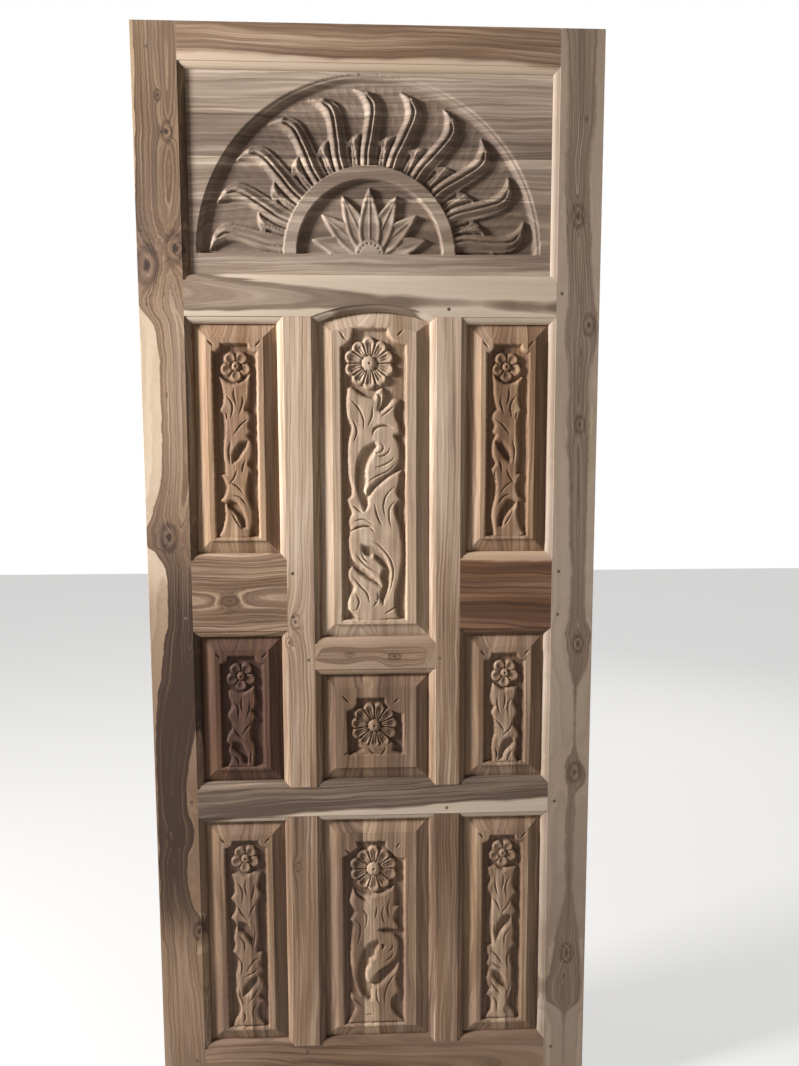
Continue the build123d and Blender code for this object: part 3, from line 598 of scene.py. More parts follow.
ARCHED_GROUND = [
    -58, 1066, -58, 557, -48, 551, -39, 541, -35, 523, 29, 523, 33, 537, 43, 547, 63, 553, 63, 1066]
ARCHED = Drawing(
    155, 555, ARCHED_GROUND, CENTER_FLOWER, (-5, 586), [ARCHED_LEAVES], ARCHED_LOOPS,
    ARCHED_VEINS, ARCHED_SLITS, origin=(3.5, 518))
print(len(ARCHED_LEAVES) // 2, "points round the leaves under the arch")

# %% [markdown]
# The lower middle panel has the same daisy over one large scroll: a stem that curls round a
# hollow and ends in pointed leaves. Two deep slits part it from the leaves above.

# %% Draw the lower middle carving
SCROLL_LEAVES = [
    -43, 1603, -47, 1617, -49, 1630, -43, 1643, -38, 1653, -48, 1667, -43, 1677, -45, 1693, -48, 1723,
    -49, 1750, -47, 1773, -43, 1797, -38, 1813, -32, 1827, -48, 1822, -49, 1833, -43, 1845, -39, 1857,
    -45, 1868, -56, 1886, 57, 1886, 42, 1870, 35, 1853, 35, 1840, 40, 1830, 48, 1820, 45, 1807, 42, 1793,
    47, 1773, 47, 1760, 35, 1780, 18, 1798, 8, 1807, -5, 1807, -7, 1823, -8, 1837, -13, 1838, -22, 1827,
    -30, 1807, -33, 1787, -30, 1763, -25, 1743, -18, 1727, -8, 1717, 5, 1712, 8, 1717, 3, 1730, 0, 1737,
    -2, 1747, -12, 1752, -12, 1763, -18, 1773, -19, 1787, -15, 1800, -10, 1802, 2, 1787, 15, 1773, 32,
    1762, 43, 1747, 47, 1730, 46, 1713, 38, 1702, 18, 1697, 8, 1690, 22, 1687, 38, 1690, 48, 1690, 45,
    1680, 39, 1670, 42, 1653, 48, 1643, 38, 1640, 40, 1613, 38, 1600, 20, 1612, -5, 1618, -28, 1612]
SCROLL_VEINS = [
    [-27, 1643, -17, 1657, -17, 1673, -20, 1687], [-38, 1667, -30, 1677, -30, 1700, -35, 1720], [4, 1640,
    3, 1652, 0, 1667], [-10, 1793, 8, 1777, 28, 1765, 40, 1750], [18, 1757, 32, 1747, 37, 1737], [25,
    1737, 33, 1730, 35, 1720], [42, 1780, 27, 1803, 20, 1823, 18, 1848], [38, 1827, 33, 1840, 33, 1853,
    38, 1863], [2, 1810, 3, 1833, 10, 1852], [-43, 1833, -28, 1847, -15, 1855], [-20, 1870, -12, 1868, -4,
    1873], [30, 1625, 25, 1645, 30, 1668], [17, 1640, 14, 1660, 20, 1678], [-57, 1520, -46, 1532], [42,
    1520, 50, 1508]]
SCROLL_SLITS = [[-42, 1603, -32, 1616, -10, 1634], [12, 1719, 17, 1724, 14, 1731]]
SCROLL_GROUND = [
    -62, 1888, -62, 1537, -43, 1525, -32, 1517, -35, 1505, 22, 1505, 24, 1519, 35, 1530, 45, 1539, 59,
    1541, 59, 1888]
SCROLL = Drawing(
    155, 405, SCROLL_GROUND, CENTER_FLOWER, (-2, 1563), [SCROLL_LEAVES], [],
    SCROLL_VEINS, SCROLL_SLITS, origin=(3.5, 1487))
print(len(SCROLL_LEAVES) // 2, "points round the large scroll")

# %% [markdown]
# The square is so low that the rosette fills it, and only a strip of leaves runs along its foot.

# %% Draw the rosette square
SQUARE_LEAVES = [
    [-56, 1332, -40, 1328, -27, 1324, -23, 1320, -29, 1313, -20, 1309, 0, 1312, 22, 1309, 34, 1305, 40,
    1311, 37, 1322, 48, 1328, 62, 1333, 62, 1345, -56, 1345]]
SQUARE_VEINS = [
    [47, 1317, 56, 1325], [-62, 1211, -45, 1228], [38, 1228, 49, 1218], [-48, 1322, -58, 1331], [-12,
    1316, -4, 1326, 8, 1330], [22, 1315, 18, 1326, 12, 1332]]
SQUARE_GROUND = [
    -50, 1330, -52, 1243, -41, 1238, -34, 1230, -32, 1217, 21, 1217, 24, 1230, 31, 1240, 43, 1246, 56,
    1250, 58, 1330]
SQUARE = Drawing(
    155, 158, SQUARE_GROUND, ROSETTE, (1, 1273), SQUARE_LEAVES, [], SQUARE_VEINS,
    origin=(3.5, 1197))
print("rosette square drawn")

# %% [markdown]
# ## The rising sun
# The top panel is one half sun: a flat ring, eleven flame rays that curl over at their tips, a
# short hooked ray beside each of them, and a small step round the whole. All rays share one
# outline, drawn as an angle and a distance from the sun's centre, and turned into place.

# %% Draw the rays
SUN_X, SUN_Z = -3.0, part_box("frieze_rail")[1].z / MM + 36
SUN_GROUND, SUN_EDGE, RING_OUTER, RING_INNER = 10.0, 306.0, 156.0, 133.0
RAY_STEP, MIDDLE_RAY = 16.64, 5
RAY = [
    -5.9, 152, -5.2, 175, -4.2, 195, -3.0, 213, -1.9, 228, -1.3, 242, -1.4, 255, -2.3, 268, -3.6, 279,
    -5.2, 288, -2.5, 286, 0.8, 281, 3.2, 273, 4.7, 262, 5.2, 248, 5.3, 230, 5.1, 210, 4.9, 190, 4.6, 170,
    4.4, 152]
SMALL_RAY = [
    -10.7, 152, -10.3, 172, -9.6, 186, -9.9, 193, -11.9, 192, -11.3, 198, -9, 205, -6.2, 210.5, -3.2, 213,
    -4.4, 208, -5.5, 195, -6.4, 180, -7.1, 165, -7.3, 152]
RAY_GROOVE = [-2.1, 148, -1.5, 180, 0, 205, 1, 230, 1.5, 250, 1, 264, -1.2, 277]
SMALL_GROOVE = [-8.8, 150, -8.2, 172, -7.5, 190, -6.6, 203]


def sun_lines(points, turns, **how):
    """One drawn line, turned into place for every ray."""
    p = np.array(points, float).reshape(-1, 2)
    angles = [np.radians(turn + p[:, 0]) for turn in turns]
    return [drawn(np.column_stack([SUN_X + p[:, 1] * np.sin(a), SUN_Z + p[:, 1] * np.cos(a)]), **how)
            for a in angles]


turns = [(i - MIDDLE_RAY) * RAY_STEP for i in range(2 * MIDDLE_RAY + 1)]
RAYS = sun_lines(RAY, turns, corner=55) + sun_lines(SMALL_RAY, turns[1:], corner=55)
GROOVES = sun_lines(RAY_GROOVE, turns, closed=False)
SMALL_GROOVES = sun_lines(SMALL_GROOVE, turns[1:], closed=False)
print(len(RAYS), "rays, sun centre at", round(SUN_Z), "mm")

# %% [markdown]
# Inside the ring stands a half lotus: pointed petals that spread like a fan from a low seed
# head, the middle one foremost. Each petal is hollowed, with a raised rim.

# %% Carve the half lotus
LOTUS_TURNS = [-76, -51, -25.5, 0, 25.5, 51, 76]
PETAL_LENGTH, PETAL_HALF, SEED_HEAD, BEAD_RING, BEAD_STEP = 117, 23.5, 27, 19.5, 22.5


def lotus(r, angle):
    """How far outside the lotus, and how deep its surface lies."""
    outside, depth = np.full(r.shape, 20.0), np.full(r.shape, 9.0)
    for turn in sorted(LOTUS_TURNS, key=lambda turn: -abs(turn)):
        length = PETAL_LENGTH - 0.13 * abs(turn)
        off = np.radians((angle - turn + 180) % 360 - 180)
        along, aside = r * np.cos(off) / length, np.abs(r * np.sin(off))
        span = ramp(along)
        half = PETAL_HALF * np.sin(np.pi * span**0.8) ** 0.75 * (1 - 0.35 * span)
        gap = np.where((along > 0) & (along < 1), aside - half, 15.0)
        gap = np.where((along >= 1), np.hypot(aside, (along - 1) * length), gap)
        inner = np.clip(-gap, 0, 99)
        petal = 0.8 + 0.012 * abs(turn) + 1.6 * falloff(inner, 1.3, 1)
        petal = petal + 2.4 * ramp((inner - 3.2) / 6) * (1 - 0.4 * span)
        petal = petal - 1.3 * falloff(aside, 1.4) * (inner > 2)
        depth = np.where(gap < 0, petal, depth)
        outside = np.minimum(outside, gap)
    head = np.abs(angle) < 95
    bulge = 0.6 + 1.4 * falloff(np.clip(SEED_HEAD - r, 0, 99), 1.5, 1)
    along_ring = ((angle + 90) % BEAD_STEP - BEAD_STEP / 2) * 0.38
    beads = 1.2 * (np.hypot(along_ring, r - BEAD_RING) < 2.0)
    depth = np.where((r < SEED_HEAD) & head, bulge + beads, depth)
    return np.minimum(outside, np.where(head, r - SEED_HEAD, 20)), depth


print(len(LOTUS_TURNS), "lotus petals")

# %% [markdown]
# The sun is put together from the outside in: the small ledge, the hollowed ground with the rays
# standing in it, the flat ring, and the half moon with its lotus. A ray falls away steeply on
# one side of its groove and slowly on the other, which makes it look as if it curled.

# %% Carve the sun
LEDGE, LEDGE_DROP, MOON_GROUND = 6.0, 2.5, 8.0
GROOVE_CUT, SMALL_CUT = (3.4, 5.6, 0.08), (1.5, 2.2, 0.2)  # half width, depth and ends
RAY_FACE, STEEP_SIDE, SLOW_SIDE, SIDE_WIDTH, RAY_EDGES = 0.7, 4.4, 5.4, 9.5, (5.6, 5.1)


def ray_depth(x, z, r, angle, standing):
    """The surface of the rays, and their foot where a point lies outside them."""
    cut = np.max([stroke(line, x, z, *GROOVE_CUT) for line in GROOVES]
                 + [stroke(line, x, z, *SMALL_CUT) for line in SMALL_GROOVES], axis=0)
    inner = np.clip(-standing, 0, 99)
    local = angle - RAY_STEP * np.clip(np.round(angle / RAY_STEP), -MIDDLE_RAY, MIDDLE_RAY)
    centre = np.interp(r, RAY_GROOVE[1::2], RAY_GROOVE[::2])
    aside = np.radians(local - centre) * r
    left_flank = RAY_FACE + STEEP_SIDE * falloff(inner, 3.4, 1.3)
    right_flank = RAY_FACE + SLOW_SIDE * ramp((aside - 3.0) / SIDE_WIDTH) ** 1.15
    top = np.where(aside > 0, np.maximum(right_flank, left_flank * 0.6), left_flank) + cut
    edge = np.where(aside > 0, *RAY_EDGES)
    foot = edge + (SUN_GROUND - edge) * eased(ramp(standing / 2.4), 1.5)
    return np.where(standing > 0, foot, top)


def moon_depth(r, dz, petals, petal_depth):
    """The sunk half moon inside the ring, and the lotus in it."""
    moon = MOON_GROUND * ramp(np.minimum((RING_INNER - r) / 2.0, dz / 2.0))
    foot = 2.6 + (MOON_GROUND - 2.6) * eased(ramp(petals / 1.8), 1.5)
    return np.minimum(moon, np.where(petals > 0, foot, petal_depth))


def sun_relief(x, z):
    dx, dz = x - SUN_X, z - SUN_Z
    r, angle = np.hypot(dx, dz), np.degrees(np.arctan2(dx, dz))
    standing = np.min([beyond(line, x, z, 9.0) for line in RAYS], axis=0)
    ledge = LEDGE_DROP * ramp((SUN_EDGE + LEDGE - r) / 1.1) * ramp(dz / 1.5)
    bowl = ledge + (SUN_GROUND - LEDGE_DROP) * np.sin(ramp((SUN_EDGE - r) / 9.5) * math.pi / 2)
    bowl = np.minimum(bowl, SUN_GROUND * ramp(dz / 2.2))
    bowl = np.minimum(bowl, SUN_GROUND * ramp((r - RING_OUTER) / 1.8))
    gouged = 0.35 * np.sin(angle * 1.9 + r / 11) * np.sin(r / 7.3)
    bowl = bowl + gouged * (bowl > 9)
    flames = np.minimum(bowl, ray_depth(x, z, r, angle, standing))
    flames = np.where(r < RING_OUTER, 0.0, flames)
    flames = np.where(r > SUN_EDGE, ledge, flames)
    petals, petal_depth = lotus(r, angle)
    moon = moon_depth(r, dz, petals, petal_depth)
    depth = np.where((r < RING_INNER) & (dz > 0), moon, flames)
    depth = np.where((dz <= 0) | (r > SUN_EDGE + LEDGE), 0.0, depth)
    wall = np.minimum(np.minimum(SUN_EDGE - r, r - RING_OUTER), np.minimum(dz, standing))
    wall = np.where(r > SUN_EDGE + LEDGE / 2, SUN_EDGE + LEDGE - r, wall)
    moon_wall = np.minimum(np.minimum(RING_INNER - r, dz), petals)
    return depth, np.maximum(wall, moon_wall)


print("sun carving ready")

# %% [markdown]
# ## Building the panels
# Every panel is pressed, edged and handed over to the frame in the same way. The two panels of
# a pair are carved from one drawing, and the left one is turned over.

# %% Build all ten panels
CELL, SUN_CELL = 1.06, 1.65  # of the grids, in millimetres
SUN_INSET, SUN_FACE = 12, 8.0
SUN_RINGS = [(12, 12.5), (2, 12.5), (2, 22.5), (12, 22.5), (12, 26.0)]
panels = {}


def build_panel(node, drawing, flip=1, rise=0.0):
    panel = Panel(node, FIELD_INSET, FIELD_DEPTH, rise)
    piece = pressed_grid(node + ".carved", panel, drawing.on(panel, flip), CELL)
    panels[node] = planed_edge(piece, panel, RAISED_RINGS)
    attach(piece, "root")
    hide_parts(node)


for side, flip in (("left", -1), ("right", 1)):
    build_panel("upper_" + side + "_panel", TALL, flip)
    build_panel("middle_" + side + "_panel", SHORT, flip)
    build_panel("lower_" + side + "_panel", LONG, flip)
build_panel("upper_center_panel", ARCHED, rise=22.0)
build_panel("middle_center_panel", SQUARE)
build_panel("lower_center_panel", SCROLL)

sun_place = Panel("sun_panel", SUN_INSET, SUN_FACE)
sun = pressed_grid("sun_panel.carved", sun_place, sun_relief, SUN_CELL)
panels["sun_panel"] = planed_edge(sun, sun_place, SUN_RINGS)
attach(sun, "root")
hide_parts("sun_panel")
print(sum(len(p.data.polygons) for p in panels.values()), "faces in the panels")

# %% [markdown]
# ## The frame's boards
# The boards' shapes are right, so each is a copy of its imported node. A copied node is loose
# triangles: its doubles are merged and its flat faces joined, and then its edges are broken
# slightly, as sandpaper leaves them, to catch the light. The normals are weighted by the faces'
# sizes, so that a broad face is shaded level.

# %% Dress a packed board
MERGED = 0.00001
LEVEL, BROKEN, SMOOTH = math.radians(0.5), math.radians(50), math.radians(36)


def dressed_board(node, edge=0.5):
    only(nodes[node])
    bpy.ops.object.duplicate()
    piece = bpy.context.object
    piece.name = piece.data.name = node + ".board"
    del piece["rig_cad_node"]
    bpy.ops.object.mode_set(mode="EDIT")
    bpy.ops.mesh.select_all(action="SELECT")
    bpy.ops.mesh.remove_doubles(threshold=MERGED)
    bpy.ops.mesh.dissolve_limited(angle_limit=LEVEL)
    bpy.ops.object.mode_set(mode="OBJECT")
    bevel = piece.modifiers.new("broken_edges", "BEVEL")
    bevel.width, bevel.segments = edge * MM, 2
    bevel.limit_method, bevel.angle_limit = "ANGLE", BROKEN
    bpy.ops.object.modifier_apply(modifier="broken_edges")
    low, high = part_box(node)
    for vertex in piece.data.vertices:
        vertex.co = [min(max(c, a), b) for c, a, b in zip(vertex.co, low, high)]
    bpy.ops.object.shade_smooth_by_angle(angle=SMOOTH)
    level = piece.modifiers.new("level_faces", "WEIGHTED_NORMAL")
    level.keep_sharp = True
    bpy.ops.object.modifier_apply(modifier="level_faces")
    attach(piece, "root")
    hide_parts(node)
    return piece


BOARDS = {
    name: ("dark_rail_wood" if "lock_rail" in name else "frame_wood")
    for name in nodes if name not in panels and name != "joint_pins"}
boards = {name: dressed_board(name) for name, slot in BOARDS.items()}
pins = dressed_board("joint_pins", 0.4)
print(len(boards), "boards and the pins:", sorted(boards))

# %% [markdown]
# ## Shader maths in plain Python
# The wood is worked out with many small sums. One small class wraps a shader socket, so that a
# sum such as 1 - mask adds its Math nodes by itself.

# %% A socket that can be added and multiplied


class Flow:
    def __init__(self, finish, socket):
        self.finish, self.socket = finish, socket

    def sum(self, operation, *others, turned=False):
        sockets = [self, *others]
        if turned:
            sockets.reverse()
        made = self.finish.tree.nodes.new("ShaderNodeMath")
        made.operation = operation
        for slot, value in zip(made.inputs, sockets):
            self.finish.feed(slot, value)
        return Flow(self.finish, made.outputs[0])

    def clear(self):
        """Kept between 0 and 1."""
        return self.sum("MAXIMUM", 0.0).sum("MINIMUM", 1.0)


def between(operation, turned=False):
    return lambda self, other: self.sum(operation, other, turned=turned)


SIGNS = {"add": "ADD", "sub": "SUBTRACT", "mul": "MULTIPLY", "truediv": "DIVIDE"}
for sign, operation in SIGNS.items():
    setattr(Flow, "__" + sign + "__", between(operation))
    setattr(Flow, "__r" + sign + "__", between(operation, turned=True))
Flow.__pow__, Flow.__gt__ = between("POWER"), between("GREATER_THAN")
print(len(SIGNS), "signs work both ways")

# %% [markdown]
# Every other node comes from one method, which sets the node's choices first, such as a ramp's
# stops, and then its values and links. It serves a material and the world alike.

# %% Add any node to a material


class Finish:
    def __init__(self, owner):
        owner.use_nodes = True
        self.owner, self.tree = owner, owner.node_tree
        self.tree.nodes.clear()

    def feed(self, slot, value):
        if isinstance(value, Flow):
            self.tree.links.new(value.socket, slot)
        else:
            slot.default_value = value

    def node(self, kind, settings=(), values=(), output=0):
        made = self.tree.nodes.new("ShaderNode" + kind)
        for name, value in dict(settings).items():
            if name == "stops":
                while len(made.color_ramp.elements) < len(value):
                    made.color_ramp.elements.new(0.5)
                for element, (place, color) in zip(made.color_ramp.elements, value):
                    element.position, element.color = place, color
            else:
                setattr(made, name, value)
        for name, value in dict(values).items():
            self.feed(made.inputs[name], value)
        return Flow(self, made.outputs[output]) if made.outputs else None

    def parts(self, vector):
        split = self.node("SeparateXYZ", values={0: vector}).socket.node
        return [Flow(self, part) for part in split.outputs]

    def noise(self, x, y, z, detail=2.0, rough=0.55):
        place = self.node("CombineXYZ", values={0: x, 1: y, 2: z})
        return self.node(
            "TexNoise", {"noise_dimensions": "3D"},
            {"Vector": place, "Scale": 1.0, "Detail": detail, "Roughness": rough})


def paint(red, green, blue):
    """A colour as a screen shows it, from 0 to 255, turned into the light that Blender mixes."""
    channels = [c / 255 for c in (red, green, blue)]
    return (*[c / 12.92 if c <= 0.04045 else ((c + 0.055) / 1.055) ** 2.4 for c in channels], 1.0)


print("a pale teak is", [round(c, 3) for c in paint(205, 178, 145)])

# %% [markdown]
# ## Teak
# A real board's tone and the edges of its heartwood change along it. Each follows a line that
# is drawn along the board, and a Float Curve node holds that line.

# %% Follow a line along a board


def followed(f, along, points):
    """A value that follows a line drawn along the board, given as pairs (place, value)."""
    points = sorted(points)
    first, last = points[0][0], points[-1][0]
    low, high = min(v for _, v in points) - 1, max(v for _, v in points) + 1
    made = f.node("FloatCurve", values={"Value": (along - first) / (last - first)})
    curve = made.socket.node.mapping.curves[0]
    places = [((a - first) / (last - first), (v - low) / (high - low)) for a, v in points]
    curve.points[0].location, curve.points[-1].location = places[0], places[-1]
    for place, value in places[1:-1]:
        curve.points.new(place, value)
    made.socket.node.mapping.update()
    return made * (high - low) + low


print("a line can be followed")

# %% [markdown]
# A glued-up panel changes from stave to stave, with a fine dark joint between them. Knots bend
# the rings and show a dark eye with a rim. Outside the drawn edges of the heartwood the wood is
# pale sapwood, and these edges shift with the depth, as the rings do.

# %% Staves, knots and heartwood
JOINT_HALF = 0.9  # half width of a glued joint, in millimetres
KNOT_LENGTH, KNOT_LIFT, KNOT_RIM, RIM_SHARE = 1.7, 1.9, 0.74, 0.38  # in knot sizes
HEART_SHIFT = 2.4  # of the heartwood's edges, for each millimetre of depth


def glued(f, along, across, staves, seed):
    """The change of tone, the jump of the grain, and the joints."""
    stave, jump, joint = 0.0, 0.0, 0.0
    for index, (edge, change) in enumerate(staves):
        past = (across + f.noise(along / 60, seed + index, 0.0, 0) * 1.2) > edge
        stave, jump = past * change + stave, past * (61.0 + 17 * index) + jump
        near = (1 - (across - edge).sum("ABSOLUTE") / JOINT_HALF).clear()
        joint = near.sum("MAXIMUM", joint)
    return stave, jump, joint


def knotted(f, along, across, knots, seed):
    """How far the rings are lifted, and the dark spots."""
    gnarl = f.noise(along / 11, across / 8, seed + 3.1, 3) + 0.5
    rise, core = 0.0, 0.0
    for at_along, at_across, size in knots:
        up, side = (along - at_along) / (size * KNOT_LENGTH), (across - at_across) / size
        far = (up ** 2 + side ** 2) * gnarl
        rise = 1 / (1 + far * 1.3) * (size * KNOT_LIFT) + rise
        reach = far.sum("SQRT")
        eye = (1.15 - reach * 3.4).clear()
        rim = (1 - (reach - KNOT_RIM).sum("ABSOLUTE") * 3.0).clear() * RIM_SHARE
        core = eye.sum("MAXIMUM", rim).sum("MAXIMUM", core)
    return rise, core


def hearted(f, along, across, y, heart, soft, seed):
    """How far each place is from the middle of the heartwood, and how wide that is."""
    frayed = (f.noise(along / 26, seed + 31, across / 90, 3) - 0.5) * (6 + soft)
    low = followed(f, along, [(a, l) for a, l, _ in heart]) + frayed
    high = followed(f, along, [(a, h) for a, _, h in heart]) - frayed * 0.8
    sunk = (y - FRONT) * HEART_SHIFT
    low, high = low - sunk, high + sunk
    half = ((high - low) * 0.5).sum("MAXIMUM", 0.6)
    return (across - (low + high) * 0.5).sum("ABSOLUTE"), half


print("staves, knots and heartwood ready")

# %% [markdown]
# A board is a slice through a trunk. So the grain is not drawn on the board: the trunk's rings stand
# round a pith that lies a little behind or beside it and leans, and the board's face cuts them. That
# gives long straight lines on one board and pointed arches on the next, the same on the face, the edges
# and down in the carving. The sunk carving is painted a little darker, partly as grime and partly as
# painted shade in the recesses.

# %% Make the wood
TAN = ((84, 62, 47), (132, 106, 84), (174, 149, 125), (208, 187, 164))
RED = ((60, 37, 26), (101, 70, 50), (144, 109, 84), (202, 175, 148))
GREY = ((82, 66, 55), (126, 107, 91), (168, 149, 131), (212, 194, 173))
WARM = ((88, 62, 44), (140, 109, 83), (184, 155, 126), (214, 191, 163))
# A palette with a darker dark end, for the left stile's lower part: partly its own dark heartwood, partly
# a painted cast shadow.
SHADED = ((54, 36, 24), (118, 93, 72), (172, 147, 122), (212, 192, 168))
STOPS = (0.0, 0.36, 0.66, 1.0)  # of the colour ramp, from the darkest wood to the palest
# The last two of these darken the sunk carving: partly grime, partly painted shade in the recesses.
JOINT_DARK, KNOT_DARK, THREADS, SHADE_AND_GRIME, UNEVEN_SHADE_AND_GRIME = 0.1, 0.6, 0.16, 0.15, 0.13
SAP_SHARE, HEARTED_SAP_SHARE = 0.85, 0.9
ROUGHNESS, SHINE, BUMP = 0.66, 0.32, 0.0006


def wood(name, upright, pith=(0, 30), lean=(0.0, 0.0), ring=7.0, lines=0.16, tone=0.55, broad=0.3,
         streaks=0.16, staves=(), knots=(), sap=None, seed=0.0, colors=TAN, start=0.0, wander=16.0,
         bow=0.0, heart=(), pale=0.93, soft=2.0):
    """Teak for one piece. Lengths are in millimetres, in the door's own frame."""
    f = Finish(bpy.data.materials.new(name))
    place = f.node("TexCoord", output=3)
    place = f.node("VectorMath", {"operation": "MULTIPLY"}, {0: place, 1: (1000, 1000, 1000)})
    x, y, z = f.parts(place)
    along, across = (z, x) if upright else (x, z)
    along_grain = along
    if staves:
        stave, jump, joint = glued(f, along, across, staves, seed)
        along_grain = along + jump * 7
    shift = (f.noise(along_grain / 330, across / 120, seed, 1) - 0.5) * (wander * 2)
    ripple = (f.noise(along_grain / 70, across / 26, seed + 7.7, 1) - 0.5) * 7
    side = across - pith[0] - (along - start) * lean[0] + shift + ripple
    if staves:
        side = side + jump
    back = y - pith[1] - (along - start) * lean[1]
    if bow:
        back = back - (along - start) * (along - start) * bow
    if heart:
        from_middle, half = hearted(f, along, across, y, heart, soft, seed)
        past_heart = from_middle - half
        side = (from_middle / half).sum("MINIMUM", 1.0) * 62 + (shift + ripple) * 0.55
        back = back * 0.5 + 16 + past_heart.sum("MAXIMUM", 0.0) * 1.1
    radius = (side * side + back * back).sum("SQRT")
    if knots:
        rise, core = knotted(f, along, across, knots, seed)
        radius = radius + rise
    uneven = f.noise(radius / 9, seed, 3.3, 1)
    phase = (radius / ring + uneven * 1.4).sum("FRACT")
    late = phase ** 2.6 * (1 - phase) ** 0.35 * 1.6
    haze = f.noise(along_grain / 420, radius / 19, seed + 2, 2)
    streak = f.noise(along_grain / 260, radius / 3.1, seed + 4, 3, 0.65)
    thread = f.noise(along_grain / 34, across / 0.9, y / 0.9 + seed, 2)
    base = followed(f, along, tone) if isinstance(tone, list) else tone
    shade = base + (haze - 0.5) * (broad * 3) + (streak - 0.5) * (streaks * 3.6) - late * (lines * 1.25)
    shade = shade + (thread - 0.5) * THREADS
    if staves:
        shade = shade + stave - joint * JOINT_DARK
    if sap:
        first, width, stray = sap
        edge = f.noise(along_grain / 150, seed + 9, 0.0, 2) * stray + first
        shade = shade + ((radius - edge) / width).clear() * (pale - shade) * SAP_SHARE
    if heart:
        sapwood = followed(f, along, pale) if isinstance(pale, list) else pale
        rind = 1 - ((past_heart + soft) / (soft * 1.2)).sum("ABSOLUTE").clear()
        outer = (past_heart / soft + 0.5).clear()
        shade = shade - rind * (0.2 / soft)
        sapwood = sapwood - (streak - 0.5) * 0.4 - late * 0.12
        shade = shade + outer * (sapwood - shade) * HEARTED_SAP_SHARE
    if knots:
        shade = shade - core * KNOT_DARK
    # Painted shade and grime: the sunk carving is darkened by its depth, unevenly.
    shade_and_grime_mask = f.node("Attribute", {"attribute_name": "carved"}, output=2)
    patchy = f.noise(x / 11, y / 11, z / 11, 3)
    shade = (shade - shade_and_grime_mask * (SHADE_AND_GRIME + patchy * UNEVEN_SHADE_AND_GRIME)).clear()
    stops = [(p, paint(*c)) for p, c in zip(STOPS, colors)]
    warm = f.noise(along_grain / 300, radius / 30, seed + 12, 1)
    hue = f.node("HueSaturation", values={
        "Color": f.node("ValToRGB", {"stops": stops}, {0: shade}), "Hue": 0.494 + warm * 0.012,
        "Saturation": 0.86 + warm * 0.26})
    bump = f.node("Bump", values={
        "Height": late * 0.5 + thread * 0.5 + patchy * shade_and_grime_mask * 1.6, "Strength": 0.35,
        "Distance": BUMP})
    skin = f.node("BsdfPrincipled", values={
        "Base Color": hue, "Roughness": ROUGHNESS - late * 0.05 + thread * 0.08, "Normal": bump,
        "Specular IOR Level": SHINE})
    f.node("OutputMaterial", values={"Surface": skin})
    return f.owner


def wear(piece, material):
    piece.data.materials.clear()
    piece.data.materials.append(material)


def dress(pieces, node, upright, **look):
    wear(pieces[node], wood("teak." + node, upright, **look))


print("the wood helper makes one material for each piece")

# %% [markdown]
# ## Each board's own wood
# No two boards of the real door match: the stiles are tan, the frieze is cream with brown
# tongues, the right lock rail is nearly red. So each board gets its own slice of its own trunk.
# Both stiles have sapwood on their long edges, and the heartwood's two edges are drawn as
# (height, left, right).

# %% Wood for the stiles
LEFT_HEART = [
    (2057, -412, -300), (1836, -416, -300), (1600, -424, -300), (1578, -421, -300), (1549, -400, -300),
    (1520, -391, -300), (1461, -385, -300), (1371, -385, -300), (1281, -387, -300), (1250, -392, -300),
    (1214, -402, -300), (1177, -414, -300), (1145, -421, -300), (1125, -404, -300), (1105, -392, -300),
    (1085, -386, -300), (1022, -384, -300), (959, -391, -300), (895, -400, -300), (831, -410, -326),
    (766, -414, -343), (701, -415, -356), (668, -415, -360), (621, -415, -359), (578, -416, -348),
    (548, -415, -356), (501, -416, -363), (460, -416, -360), (419, -416, -349), (378, -416, -338),
    (350, -409, -349), (295, -407, -347), (239, -408, -338), (169, -407, -335), (0, -396, -332)]
RIGHT_HEART = [
    (2057, 344, 406), (1987, 352, 403), (1902, 353, 404), (1817, 351, 395), (1735, 354, 399),
    (1642, 359, 403), (1582, 362, 408), (1535, 356, 416), (1480, 361, 411), (1420, 364, 403),
    (1359, 362, 406), (1278, 368, 404), (1142, 372, 404), (1046, 377, 403), (988, 374, 406),
    (959, 368, 416), (923, 372, 414), (871, 381, 400), (818, 388, 390), (772, 388, 390), (725, 386, 394),
    (699, 373, 407), (672, 374, 412), (645, 379, 394), (577, 375, 392), (446, 376, 393), (404, 370, 398),
    (355, 360, 406), (306, 354, 409), (264, 348, 410), (239, 340, 412), (210, 345, 410), (192, 368, 395),
    (153, 378, 381), (0, 379, 381)]
